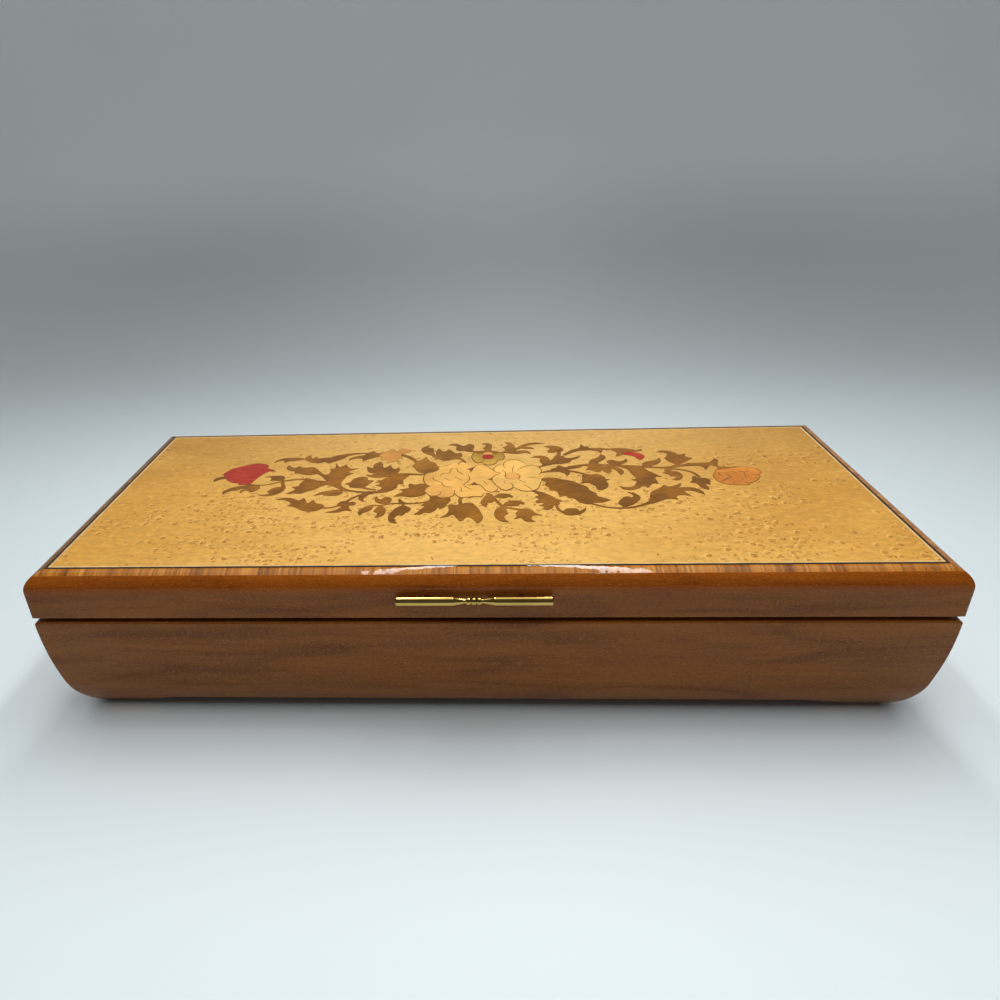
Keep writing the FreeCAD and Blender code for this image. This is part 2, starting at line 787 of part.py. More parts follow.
def window():
    """A clear pane on two ledges, with a hole that the start pin passes."""
    front = "bay_front"
    back = "lined_y"
    long = ("bay_left", "bay_right")
    tall = ("ledge_top - ledge_size", "ledge_top")
    ledges = [
        between("ledge_front", *long, front, f"{front} + ledge_size", *tall),
        between("ledge_back", *long, f"{back} - ledge_size", back, *tall),
    ]
    piece("window_ledges", group("window_ledges", *ledges))
    sides = ("bay_left + pane_gap", "bay_right - pane_gap", f"{front} + pane_gap", f"{back} - pane_gap")
    pane = between("pane", *sides, "ledge_top", "divider_top")
    hole_radius = "start_pin_radius + pane_hole_clearance"
    hole = prism("pane_hole", ("start_x", "start_y", "ledge_top"), hole_radius, "pane_thickness")
    piece("window_pane", cut("window_pane", pane, hole))


# Teeth


def gear_outline(teeth, module, phase):
    """The outline of a spur gear about the origin of the YZ plane, with a tooth at the angle phase."""
    pitch_radius = teeth * module / 2
    half = math.pi / (2 * teeth) * (1 - mm("tooth_backlash"))
    root = (pitch_radius - mm("tooth_dedendum") * module, half * mm("tooth_root_share"))
    tip = (pitch_radius + mm("tooth_addendum") * module, half * mm("tooth_tip_share"))
    outline = []
    for tooth in range(teeth):
        middle = phase + 2 * math.pi * tooth / teeth
        for (radius, width), side in ((root, -1), (tip, -1), (tip, 1), (root, 1)):
            angle = middle + side * width
            outline.append(Vector(0, radius * math.cos(angle), radius * math.sin(angle)))
    return Part.makePolygon(outline + outline[:1])


def flat_sided(radius, length, sides):
    """A prism along the cylinder's axis."""
    angles = [2 * math.pi * side / sides for side in range(sides)]
    outline = [Vector(0, radius * math.cos(angle), radius * math.sin(angle)) for angle in angles]
    return Part.Face(Part.makePolygon(outline + outline[:1])).extrude(Vector(length, 0, 0))


def spur_gear(teeth, module, thickness, phase, bore):
    blank = Part.Face(gear_outline(teeth, module, phase)).extrude(Vector(thickness, 0, 0))
    return blank.cut(flat_sided(bore, thickness, count("round_sides")))


# Movement


def machine_screw(name, x, y, seat):
    """A cheese-head screw whose head sits on the height seat."""
    head = prism(f"{name}_head", (x, y, seat), "screw_head", "screw_head_height")
    foot = (x, y, f"{seat} - screw_length")
    return joined(name, prism(f"{name}_shank", foot, "screw_radius", "screw_length", "thread_sides"), head)


def screw_hole(name, x, y, seat):
    depth = "(screw_length + screw_gap)"
    return prism(name, (x, y, f"{seat} - {depth}"), "screw_radius + screw_gap", depth, "thread_sides")


def rounded_plate(name):
    """The bedplate's flat, with rounded corners."""
    body = doc.addObject("PartDesign::Body", name)
    left = "plate_left + bedplate_corner"
    right = "plate_right - bedplate_corner"
    front = "plate_front + bedplate_corner"
    back = "plate_back - bedplate_corner"
    outline = [
        (left, "plate_front"),
        (right, "plate_front", (right, front)),
        ("plate_right", front),
        ("plate_right", back, (right, back)),
        (right, "plate_back"),
        (left, "plate_back", (left, back)),
        ("plate_left", back),
        ("plate_left", front, (left, front)),
    ]
    pad(body, draw(body, f"{name}_outline", "XY_Plane", outline), "bedplate_thickness")
    return place(body, ("0", "0", "board_top"))


def bedplate():
    """The cast plate that carries the movement, with the comb's rest and every hole in it."""
    flat = rounded_plate("bedplate_flat")
    rest_size = ("comb_width", "comb_heel", "axis_z - comb_thickness - plate_top")
    rest = block("comb_rest", ("comb_left", "comb_start", "plate_top"), rest_size)
    tall = "bedplate_thickness"
    pivot = ("governor_x", "governor_y", "board_top")
    holes = [
        round_hole("arbor_hole", ("barrel_x", "axis_y", "board_top"), "arbor_radius", tall),
        round_hole("governor_hole", pivot, "governor_pivot_radius", tall),
    ]
    for x, y in MOUNT_SCREWS:
        bore = "mount_screw_radius + screw_gap"
        holes.append(prism("mount_hole", (x, y, "board_top"), bore, tall, "thread_sides"))
    screws = [*comb_screws(), *bridge_screws(), BRACKET_SCREW, FRAME_SCREW]
    holes += [screw_hole("small_screw_hole", *each) for each in screws]
    piece("bedplate", cut("bedplate", joined("bedplate_cast", flat, rest), *holes))


MOUNT_SCREWS = (
    ("plate_left + mount_screw_inset", "plate_front + mount_screw_inset"),
    ("plate_right - mount_screw_inset", "plate_front + mount_screw_inset"),
    ("drum_left", "plate_back - mount_screw_inset"),
)


def bottom_board():
    """The board in the walls' groove, with holes for the winding arbor and the movement's screws."""
    side = "(wall_thickness - groove_depth + board_clearance)"
    long = (f"{side} - half_length", f"half_length - {side}")
    deep = (f"{side} - half_depth", f"half_depth - {side}")
    board = between("board", *long, *deep, "board_height", "board_top")
    arbor_hole = "arbor_radius + key_hole_clearance"
    holes = [prism("board_arbor_hole", ("barrel_x", "axis_y", "board_height"), arbor_hole, "board_thickness")]
    screws = []
    for x, y in MOUNT_SCREWS:
        bore = "mount_screw_radius + screw_gap"
        holes.append(prism("board_hole", (x, y, "board_height"), bore, "board_thickness", "thread_sides"))
        head_z = "board_height - mount_screw_head_height"
        head = prism("mount_head", (x, y, head_z), "mount_screw_head", "mount_screw_head_height")
        shank_length = "board_thickness + bedplate_thickness"
        foot = (x, y, "board_height")
        shank = prism("mount_shank", foot, "mount_screw_radius", shank_length, "thread_sides")
        screws.append(joined("mount_screw", head, shank))
    holes.append(screw_hole("start_screw_hole", *START_SCREW))
    piece("bottom_board", cut("bottom_board", board, *holes))
    piece("movement_screws", group("movement_screws", *screws))


def ring_of(points):
    return Part.Face(Part.makePolygon(points + points[:1]))


def upright(radius, height, sides, low=0):
    """A prism on the height low, about the origin."""
    angles = [2 * math.pi * side / sides for side in range(sides)]
    outline = [Vector(radius * math.cos(angle), radius * math.sin(angle), low) for angle in angles]
    return ring_of(outline).extrude(Vector(0, 0, height))


def faceted(sections):
    """A closed form in flat triangles through outlines that have the same number of corners."""
    faces = [ring_of(sections[0]), ring_of(sections[-1])]
    for lower, upper in zip(sections, sections[1:]):
        for corner in range(len(lower)):
            near, far = lower[corner - 1], lower[corner]
            over_near, over_far = upper[corner - 1], upper[corner]
            faces.append(ring_of([near, far, over_far]))
            faces.append(ring_of([near, over_far, over_near]))
    return Part.Solid(Part.Shell(faces))


def spring_barrel():
    """An open drum whose rim carries the crown teeth, its cover and the coiled spring in it."""
    radius = mm("barrel_radius")
    inner = radius - mm("barrel_wall")
    floor = mm("barrel_floor")
    tall = mm("crown_root - barrel_bottom")
    teeth = count("crown_teeth")
    bore = upright(mm("arbor_radius + running_gap") / math.cos(math.pi / teeth), tall, teeth // 2)
    drum = upright(radius, tall, teeth).cut([upright(inner, tall, teeth // 2, floor), bore])

    module = mm("crown_module")
    half = math.pi * module / 4 * (1 - mm("tooth_backlash"))
    height = (mm("tooth_dedendum") + mm("tooth_addendum")) * module
    start = mm("crown_radius - crown_width / 2")
    root = half * mm("tooth_root_share")
    tip = half * mm("tooth_tip_share")
    flank = ((-root, 0), (root, 0), (tip, height), (-tip, height))
    tooth = ring_of([Vector(start, across, tall + up) for across, up in flank])
    tooth = tooth.extrude(Vector(mm("crown_width"), 0, 0))
    crown = []
    for step in range(teeth):
        turned = tooth.copy()
        turned.rotate(Vector(), Vector(0, 0, 1), 360 * step / teeth)
        crown.append(turned)
    at = ("barrel_x", "axis_y", "barrel_bottom")
    piece("barrel_drum", shaped("barrel_drum", drum.fuse(crown), at))

    cover = upright(inner, floor, teeth // 2).cut(bore)
    piece("barrel_cover", shaped("barrel_cover", cover, ("barrel_x", "axis_y", "crown_root - barrel_floor")))

    height = tall - 2 * floor - 2 * mm("soft_gap")
    at = ("barrel_x", "axis_y", "barrel_bottom + barrel_floor + soft_gap")
    piece("mainspring", shaped("mainspring", coiled_strip(height), at))


def coiled_strip(height):
    """The mainspring: a flat strip wound in a spiral of short straight lengths."""
    thickness = mm("spring_strip")
    innermost = mm("arbor_radius + 2 * spring_strip")
    outermost = mm("barrel_radius - barrel_wall - 2 * spring_strip")
    facets = count("spring_facets")
    steps = facets * count("spring_turns")
    outer = []
    inner = []
    for step in range(steps + 1):
        angle = 2 * math.pi * step / facets
        radius = innermost + (outermost - innermost) * step / steps
        away = Vector(math.cos(angle), math.sin(angle))
        outer.append(away * radius)
        inner.append(away * (radius - thickness))
    return ring_of(outer + inner[::-1]).extrude(Vector(0, 0, height))


def barrel_bridge():
    """A hat-shaped strap over the barrel, which holds the top of the winding arbor."""
    sides = [
        ("bridge_reach", "bridge_under"),
        ("bridge_reach", "plate_top"),
        ("bridge_end", "plate_top"),
        ("bridge_end", "foot_top"),
        ("bridge_side", "foot_top"),
        ("bridge_side", "bridge_top"),
    ]
    right = [(f"axis_y + {across}", height) for across, height in sides]
    left = [(f"axis_y - ({across})", height) for across, height in reversed(sides)]
    strap = plate("bridge_strap", "barrel_x - bridge_width / 2", "bridge_width", right + left)
    foot = ("barrel_x", "axis_y", "bridge_under")
    holes = [round_hole("bridge_bore", foot, "arbor_radius", "bridge_thickness")]
    holes += [screw_hole("bridge_hole", *screw) for screw in bridge_screws()]
    piece("barrel_bridge", cut("barrel_bridge", strap, *holes))


def bridge_screws():
    reach = "(bridge_side + bridge_end) / 2"
    return [("barrel_x", f"axis_y + {sign} * {reach}", "foot_top") for sign in (-1, 1)]


def winding():
    """The winding arbor, which runs from the key under the box to the bridge, and its key."""
    bottom = "key_bottom + key_thickness"
    top = "bridge_top + key_top_gap"
    arbor = rod("winding_arbor", ("barrel_x", "axis_y", bottom), "arbor_radius", f"{top} - ({bottom})")
    piece("winding_arbor", arbor)
    hub_high = "board_height - key_top_gap"
    foot = ("barrel_x", "axis_y", "key_bottom")
    hub = prism("key_hub", foot, "key_hub_radius", f"{hub_high} - key_bottom")
    lobe_z = "key_bottom + key_lobe_radius"
    front = "axis_y - key_thickness / 2"
    web_x = "barrel_x - key_lobe_reach"
    web_z = f"{lobe_z} - key_web_height / 2"
    web = block("key_web", (web_x, front, web_z), ("2 * key_lobe_reach", "key_thickness", "key_web_height"))
    lobes = []
    for sign in (-1, 1):
        x = f"barrel_x + {sign} * key_lobe_reach"
        lobes.append(prism("key_lobe", (x, front, lobe_z), "key_lobe_radius", "key_thickness", along="y"))
    piece("winding_key", cut("winding_key", joined("key_blank", hub, web, *lobes), arbor))


def pinned_cylinder():
    """The drum with its note pins, its arbor, the pinion over the crown teeth and the great wheel."""
    radius = mm("drum_radius")
    length = mm("drum_length")
    arbor = mm("cylinder_arbor_radius")
    drum = flat_sided(radius, length, count("drum_sides"))
    width = mm("note_pin_width")
    teeth = count("comb_teeth")
    pitch = mm("comb_width") / teeth
    per_tooth = count("note_pins_per_tooth")
    spread = 360 / per_tooth
    pins = []
    for tooth in range(teeth):
        x = mm("comb_inset") + pitch * (tooth + 0.5)
        for step in range(per_tooth):
            # each note plays at its own moments: a phrase that steps through the scale and turns back
            angle = (step + (tooth * 7 + step * step * 5) % 12 / 14) * spread
            foot = Vector(x - width / 2, -width / 2, radius / 2)
            pin = Part.makeBox(width, width, radius / 2 + mm("note_pin_height"), foot)
            pin.rotate(Vector(), Vector(1, 0, 0), angle)
            pins.append(pin)
    bored = drum.fuse(pins).cut(flat_sided(arbor, length, count("round_sides")))
    piece("cylinder_drum", shaped("cylinder_drum", bored, ("drum_left", "axis_y", "axis_z")))
    arbor_start = ("pinion_left", "axis_y", "axis_z")
    arbor_length = "frame_left + frame_thickness - pinion_left"
    arbor_made = prism("cylinder_arbor", arbor_start, "cylinder_arbor_radius", arbor_length, along="x")
    piece("cylinder_arbor", arbor_made)
    gap_below = -math.pi / 2 + math.pi / count("pinion_teeth")
    pinion = spur_gear(count("pinion_teeth"), mm("crown_module"), mm("crown_width"), gap_below, arbor)
    piece("cylinder_pinion", shaped("cylinder_pinion", pinion, arbor_start))
    wheel = spur_gear(count("great_teeth"), mm("train_module"), mm("wheel_thickness"), 0, arbor)
    piece("great_wheel", shaped("great_wheel", wheel, ("wheel_left", "axis_y", "axis_z")))


def comb():
    """The steel comb: a slotted plate whose teeth get shorter towards the treble end."""
    teeth = count("comb_teeth")
    pitch = mm("comb_width") / teeth
    slot = mm("comb_slot")
    reach = mm("comb_tip - comb_start")
    heel = mm("comb_heel")
    outline = [Vector(0, 0), Vector(0, reach)]
    for tooth in range(1, teeth):
        root = heel + mm("comb_slant") * tooth / teeth
        x = tooth * pitch
        outline += [Vector(x - slot / 2, y) for y in (reach, root)]
        outline += [Vector(x + slot / 2, y) for y in (root, reach)]
    outline += [Vector(teeth * pitch, reach), Vector(teeth * pitch, 0)]
    steel = Part.Face(Part.makePolygon(outline + outline[:1])).extrude(Vector(0, 0, mm("comb_thickness")))
    blank = shaped("comb_blank", steel, ("comb_left", "comb_start", "axis_z - comb_thickness"))
    holes = [screw_hole("comb_hole", x, y, seat) for x, y, seat in comb_screws()]
    piece("comb", cut("comb", blank, *holes))


def comb_screws():
    y = "comb_start + comb_heel / 2"
    return [(f"comb_left + comb_width * {share}", y, "axis_z") for share in (0.25, 0.75)]


def bearing(name, left, y, z, radius, length):
    """A hole along the cylinder's axis for an arbor to turn in."""
    return round_hole(name, (left, y, z), radius, length, "x")


def cylinder_bracket():
    """The bearing at the cylinder's pinion end."""
    sides = ("frame_base_front", "frame_base_back")
    outline = rectangle(sides[0], "plate_top", sides[1], "axis_z + bracket_width / 2")
    wall = plate("bracket_wall", "bracket_left", "bracket_thickness", outline)
    foot_end = "bracket_right + bracket_foot"
    foot = between("bracket_foot", "bracket_right", foot_end, *sides, "plate_top", "foot_top")
    axis = ("axis_y", "axis_z")
    holes = [
        bearing("bracket_bore", "bracket_left", *axis, "cylinder_arbor_radius", "bracket_thickness"),
        screw_hole("bracket_hole", *BRACKET_SCREW),
    ]
    piece("cylinder_bracket", cut("cylinder_bracket", joined("bracket_bent", wall, foot), *holes))


BRACKET_SCREW = ("bracket_right + bracket_foot / 2", "axis_y", "foot_top")
FRAME_SCREW = ("frame_left - bracket_foot / 2", "axis_y", "foot_top")


def governor_frame():
    """Two cheeks under one head: they hold the cylinder's far end, the relay arbor and the governor."""

    def cheek(name, left, front):
        outline = [
            (front, "plate_top"),
            ("frame_foot_back", "plate_top"),
            ("frame_foot_back", "frame_over_fan"),
            ("relay_y + frame_margin", "frame_over_fan"),
            ("relay_y + frame_margin", "frame_top"),
            (front, "frame_top"),
        ]
        return plate(name, left, "frame_thickness", outline)

    inner = cheek("inner_cheek", "frame_left", "frame_base_front")
    outer = cheek("outer_cheek", "frame_right", "frame_front")
    long = ("frame_left", "frame_end", "frame_front")
    head = between("frame_head", *long, "governor_y + frame_margin", "frame_under", "frame_top")
    floor = between("frame_floor", *long, "frame_foot_back", "plate_top", "foot_top")
    foot_sides = ("frame_left - bracket_foot", "frame_left", "frame_base_front", "frame_base_back")
    foot = between("frame_foot", *foot_sides, "plate_top", "foot_top")
    bent = joined("frame_bent", inner, outer, head, floor, foot)
    across = "frame_end - frame_left"
    pivot = ("governor_x", "governor_y", "frame_under")
    axis = ("axis_y", "axis_z")
    holes = [
        bearing("cylinder_bore", "frame_left", *axis, "cylinder_arbor_radius", "frame_thickness"),
        bearing("relay_bore", "frame_left", "relay_y", "axis_z", "relay_arbor_radius", across),
        round_hole("pivot_bore", pivot, "governor_pivot_radius", "foot_thickness"),
        screw_hole("frame_hole", *FRAME_SCREW),
    ]
    piece("governor_frame", cut("governor_frame", bent, *holes))


def relay():
    """The relay arbor: its leaf pinion runs in the great wheel, its worm wheel drives the governor."""
    arbor = mm("relay_arbor_radius")
    teeth = count("leaf_teeth")
    shaft = flat_sided(arbor, mm("frame_end - wheel_left"), count("round_sides"))
    gap_towards_wheel = math.pi + math.pi / teeth
    leaves = spur_gear(teeth, mm("train_module"), mm("wheel_thickness"), gap_towards_wheel, arbor)
    piece("relay_arbor", shaped("relay_arbor", shaft.fuse(leaves), ("wheel_left", "relay_y", "axis_z")))
    width = mm("wheel_thickness")
    lean = math.degrees(mm("worm_lead / (2 * pi * worm_radius) / worm_wheel_radius") * width / 2)
    ends = []
    for end, turn in ((0, -lean), (width, lean)):
        outline = gear_outline(count("worm_wheel_teeth"), mm("worm_module"), 0)
        outline.rotate(Vector(), Vector(1, 0, 0), turn)
        outline.translate(Vector(end, 0, 0))
        ends.append(outline)
    wheel = Part.makeLoft(ends, True, True).cut(flat_sided(arbor, width, count("round_sides")))
    piece("worm_wheel", shaped("worm_wheel", wheel, ("worm_wheel_left", "relay_y", "axis_z")))


def governor():
    """The two-start worm on its spindle, and the air fan that it spins."""
    lead = mm("worm_lead")
    root = mm("worm_root")
    tip = mm("worm_radius + tooth_addendum * worm_module")
    starts = count("worm_starts")
    half = math.pi / (2 * starts) * (1 - mm("tooth_backlash"))
    flank = ((root, -1, "tooth_root_share"), (tip, -1, "tooth_tip_share"))
    flank += ((tip, 1, "tooth_tip_share"), (root, 1, "tooth_root_share"))
    sides = count("round_sides")
    steps = round(sides * mm("worm_half_turns") / 2)
    sections = []
    for step in range(steps + 1):
        outline = []
        # level with the worm wheel's axis the threads point along X, so that a gap faces the wheel
        turn = step / sides - mm("worm_half_turns") / 4
        for start in range(starts):
            for radius, side, share in flank:
                angle = 2 * math.pi * (turn + start / starts) + side * half * mm(share)
                corner = Vector(radius * math.cos(angle), radius * math.sin(angle), lead * step / sides)
                outline.append(corner)
        sections.append(outline)
    threads = faceted(sections)
    pivot = mm("governor_pivot_radius")
    low = mm("board_top + bedplate_thickness / 4 - worm_start")
    high = mm("frame_top + foot_thickness / 4 - worm_start")
    worm = threads.fuse(upright(pivot, high - low, sides, low))
    piece("governor_worm", shaped("governor_worm", worm, ("governor_x", "governor_y", "worm_start")))

    foot = ("governor_x", "governor_y", "fan_bottom")
    hub = prism("fan_hub", foot, "fan_hub_radius", "fan_height")
    corner = ("governor_x - fan_radius", "governor_y - fan_thickness / 2", "fan_bottom")
    blades = block("fan_blades", corner, ("2 * fan_radius", "fan_thickness", "fan_height"))
    bore = prism("fan_bore", foot, "governor_pivot_radius", "fan_height")
    piece("governor_fan", cut("governor_fan", joined("fan_blank", hub, blades), bore))


def start():
    """The pin that the lid holds down, with its stop wire beside the fan, its bracket and its spring."""
    bottom = "board_top + start_pin_bottom"
    pin = rod("start_stem", ("start_x", "start_y", bottom), "start_pin_radius", f"lip_top - ({bottom})")
    under_collar = ("start_x", "start_y", "start_collar_z")
    collar = prism("start_collar", under_collar, "start_collar_radius", "start_collar_height")
    wire_left = "start_wire_x - start_wire / 2"
    wire_front = "start_y - start_wire / 2"
    wire_low = "fan_top - start_wire_overlap"
    wire_deep = (wire_front, f"{wire_front} + start_wire")
    wire_top = "start_collar_z + start_wire"
    across = between("wire_across", wire_left, "start_x", *wire_deep, "start_collar_z", wire_top)
    down = between("wire_down", wire_left, f"{wire_left} + start_wire", *wire_deep, wire_low, wire_top)
    piece("start_pin", joined("start_pin", pin, collar, across, down))

    sides = ("start_front", "start_front + 2 * start_half_width")
    top = "start_arm_high + start_sheet"
    foot_long = ("start_x - start_foot_width / 2", "bay_right")
    foot_deep = ("start_front", "start_front + start_foot_length")
    parts = [
        between("start_foot", *foot_long, *foot_deep, "board_top", "board_top + start_sheet"),
        between("start_upright", "start_wall", "bay_right", *sides, "board_top", top),
    ]
    arm_left = "start_x - 2 * start_pin_radius"
    for low in ("board_top + start_arm_low", "start_arm_high"):
        parts.append(between("start_arm", arm_left, "bay_right", *sides, low, f"{low} + start_sheet"))
    low = "board_top + start_arm_low"
    foot = ("start_x", "start_y", low)
    pin_hole = round_hole("start_pin_hole", foot, "start_pin_radius", f"{top} - ({low})")
    holes = (pin_hole, screw_hole("start_hole", *START_SCREW))
    piece("start_bracket", cut("start_bracket", joined("start_bent", *parts), *holes))

    foot = ("start_x", "start_y", "board_top + start_arm_low + start_sheet")
    tall = "start_collar - start_arm_low - start_sheet"
    tube = prism("spring_tube", foot, "start_spring_radius", tall)
    hollow = round_hole("spring_hollow", foot, "start_pin_radius", tall)
    piece("start_spring", cut("start_spring", tube, hollow))


START_SCREW = (
    "start_x",
    "start_front + start_foot_length - start_foot_width / 2",
    "board_top + start_sheet",
)


def small_screws():
    """The cheese-head screws of the movement and of the start pin's bracket."""
    places = [*comb_screws(), *bridge_screws(), BRACKET_SCREW, FRAME_SCREW, START_SCREW]
    piece("small_screws", group("small_screws", *(machine_screw("small_screw", *each) for each in places)))


def build():
    walls = case_walls()
    rails = lid_rails()
    for side in ("front", "left", "right"):
        piece(f"case_{side}", walls[side])
    for side in ("left", "right"):
        piece(f"lid_rail_{side}", rails[side])
    lid_top()
    hinges(walls["back"], rails["back"])
    handle(rails["front"])
    lining()
    ring_rolls()
    window()
    bottom_board()
    bedplate()
    spring_barrel()
    barrel_bridge()
    winding()
    pinned_cylinder()
    comb()
    cylinder_bracket()
    governor_frame()
    relay()
    governor()
    start()
    small_screws()


build()
doc.recompute()

for made in doc.Objects:
    if {"Invalid", "Error"} & set(made.State):
        raise RuntimeError(f"{made.Label} did not build")
for made in pieces:
    if made.Shape.isNull() or not made.Shape.isValid():
        raise RuntimeError(f"{made.Label} has no sound shape")

os.makedirs("parts", exist_ok=True)
for made in pieces:
    made.Shape.exportStep(f"parts/{made.Label}.step")
    box = made.Shape.BoundBox
    sides = " x ".join(f"{side:.2f}" for side in (box.XLength, box.YLength, box.ZLength))
    print(f"{made.Label}: {len(made.Shape.Solids)} solid(s), {sides} mm")
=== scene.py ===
# %% [markdown]
# # A musical jewelry box
# The box is a low chest of glossy brown veneer on four corner feet. Its lid has a golden maple field with a
# floral marquetry, a brass bar handle in front and two hinges behind. Inside are velvet compartments, ring
# rolls and a comb movement under a clear window.
#
# The solid pieces come from the imported model, already in place. This lesson gives them their finishes
# and adds what a solid model leaves out: the marquetry, the cloth and the light. What it adds rides on
# bodies, the lid's and the case's.

import math

import bmesh
import bpy
from mathutils import Matrix, Vector, noise


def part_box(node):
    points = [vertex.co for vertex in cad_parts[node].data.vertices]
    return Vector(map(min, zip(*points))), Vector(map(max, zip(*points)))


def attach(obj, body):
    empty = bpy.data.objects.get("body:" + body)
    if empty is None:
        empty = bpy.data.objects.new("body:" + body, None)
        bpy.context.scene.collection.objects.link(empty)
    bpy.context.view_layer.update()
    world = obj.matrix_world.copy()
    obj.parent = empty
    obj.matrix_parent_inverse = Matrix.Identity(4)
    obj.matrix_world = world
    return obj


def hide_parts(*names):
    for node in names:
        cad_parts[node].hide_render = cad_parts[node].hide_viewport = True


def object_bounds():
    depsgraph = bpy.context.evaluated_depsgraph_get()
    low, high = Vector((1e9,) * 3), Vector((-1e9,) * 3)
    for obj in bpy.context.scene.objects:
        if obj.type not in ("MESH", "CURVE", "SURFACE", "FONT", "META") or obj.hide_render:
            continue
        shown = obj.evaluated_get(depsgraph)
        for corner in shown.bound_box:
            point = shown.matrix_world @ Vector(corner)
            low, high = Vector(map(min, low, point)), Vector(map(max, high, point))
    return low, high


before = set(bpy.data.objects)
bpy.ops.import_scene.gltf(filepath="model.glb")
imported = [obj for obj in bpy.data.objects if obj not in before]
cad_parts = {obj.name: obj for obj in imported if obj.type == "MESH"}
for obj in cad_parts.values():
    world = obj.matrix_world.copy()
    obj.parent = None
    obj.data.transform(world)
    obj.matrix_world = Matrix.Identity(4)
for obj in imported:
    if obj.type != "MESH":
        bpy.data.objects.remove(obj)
box_low, box_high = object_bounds()
box_size = [round(side * 1000, 1) for side in box_high - box_low]
print("solid pieces:", len(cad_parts), "box in mm:", box_size)

# %% [markdown]
# ## The camera
# The photograph looks down on the box from close in front, a little to its left, with a wide lens. The
# place and the turn come from fitting the corners of the lid and the feet, and the small shift keeps the
# lens's middle where that fit found it. A camera looks down its own -Z, so the last turn raises it to the
# horizon.

# %% Stand the camera where the photograph was taken
def placed(name, data):
    """Puts a new object in the scene."""
    made = bpy.data.objects.new(name, data)
    bpy.context.scene.collection.objects.link(made)
    return made


camera = placed("camera", bpy.data.cameras.new("camera"))
bpy.context.scene.camera = camera
camera.data.sensor_width = 36
camera.data.lens = 26.26
camera.data.shift_x = 0.0602
camera.data.shift_y = 0.0066
stand = Matrix.Translation((0.00177, -0.25874, 0.18581))
heading, dip, lean = (math.radians(angle) for angle in (3.97, -27.23, 2.47))
turn = Matrix.Rotation(heading, 4, "Z") @ Matrix.Rotation(dip, 4, "X") @ Matrix.Rotation(lean, 4, "Y")
raised = Matrix.Rotation(math.radians(90), 4, "X")
camera.matrix_world = stand @ turn @ raised
print("camera", round(camera.location.length, 3), "m from the middle of the footprint")

# %% [markdown]
# ## A way to mix finishes
# Every finish below is a small recipe of texture nodes. Building nodes by hand takes many lines, so this
# class keeps a new material with its shader and offers one short call per step: add a texture, set the
# sockets, blend two colours, glaze one with another, ramp a grey value into colours, or fade from one
# number to another along a measure.

# %% The recipe class
class Recipe:
    """A finish being mixed. Sockets are named with _ for a space, and take a value or another node."""

    def __init__(self, name):
        self.material = bpy.data.materials.new(name)
        self.material.use_nodes = True
        self.nodes = self.material.node_tree.nodes
        self.links = self.material.node_tree.links
        self.shader = self.nodes["Principled BSDF"]
        self.place = self.nodes.new("ShaderNodeTexCoord").outputs["Object"]

    def give(self, socket, value):
        if isinstance(value, bpy.types.Node):
            value = value.outputs[0]
        if isinstance(value, bpy.types.NodeSocket):
            self.links.new(value, socket)
        elif socket.type == "RGBA" and len(value) == 3:
            socket.default_value = (*value, 1)
        else:
            socket.default_value = value

    def give_in_order(self, sockets, *values):
        for socket, value in zip(sockets, values):
            self.give(socket, value)

    def add(self, kind, settings=None, **sockets):
        node = self.nodes.new("ShaderNode" + kind)
        for name, value in (settings or {}).items():
            setattr(node, name, value)
        for name, value in sockets.items():
            self.give(node.inputs[name.replace("_", " ")], value)
        return node

    def sum(self, operation, first, second=0.0, third=0.0):
        node = self.add("Math", {"operation": operation})
        self.give_in_order(node.inputs, first, second, third)
        return node

    def blend(self, share, first, second, how="MIX"):
        node = self.add("Mix", {"data_type": "RGBA", "blend_type": how})
        self.give_in_order((node.inputs[0], node.inputs[6], node.inputs[7]), share, first, second)
        return node.outputs[2]

    def glazed(self, colour, glaze, share=1.0):
        """The colour times the glaze, which darkens each channel where the glaze is below one."""
        return self.blend(share, colour, glaze, "MULTIPLY")

    def ramp(self, value, *stops):
        """Turns a grey value into colours. A stop is a place and a colour, or a number for a grey."""
        node = self.add("ValToRGB", Fac=value)
        steps = node.color_ramp.elements
        while len(steps) < len(stops):
            steps.new(0.5)
        for step, (where, colour) in zip(steps, stops):
            step.position = where
            step.color = (colour, colour, colour, 1) if isinstance(colour, float) else (*colour, 1)
        return node.outputs[0]

    def fading(self, value, start, end, first=0.0, last=1.0):
        """A number that eases from first to last while the value goes from start to end."""
        node = self.add("MapRange", {"interpolation_type": "SMOOTHSTEP"}, Value=value)
        self.give_in_order(node.inputs[1:5], start, end, first, last)
        return node

    def split(self):
        """The x, y and z of the point that is shaded."""
        return self.add("SeparateXYZ", Vector=self.place).outputs

    def grain(self, x, y=None, z=None, detail=3.0, rough=0.5, swirl=0.0):
        """Noise with x, y and z features to the metre. Left out, y is as x and z is as y."""
        y = y or x
        spot = self.add("Mapping", Vector=self.place, Scale=(x, y, z or y))
        return self.add("TexNoise", Vector=spot, Scale=1.0, Detail=detail, Roughness=rough, Distortion=swirl)

    def bump(self, height, strength, depth):
        node = self.add("Bump", Height=height, Strength=strength, Distance=depth)
        self.give(self.shader.inputs["Normal"], node)

    def set(self, **sockets):
        for name, value in sockets.items():
            self.give(self.shader.inputs[name.replace("_", " ")], value)

    def lacquered(self, roughness=0.35, coat_index=1.28):
        """The clear high-gloss coat that lies over every veneer of the outside."""
        self.set(Roughness=roughness, Specular_IOR_Level=0.0)
        self.set(Coat_Weight=1.0, Coat_Roughness=0.03, Coat_IOR=coat_index)


def dress(material, *names):
    """Gives CAD pieces their finish, in their own material slots."""
    for name in names:
        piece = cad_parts[name]
        if not piece.material_slots:
            piece.data.materials.append(material)
        for slot in piece.material_slots:
            slot.material = material
    print(material.name, "on", len(names), "pieces")
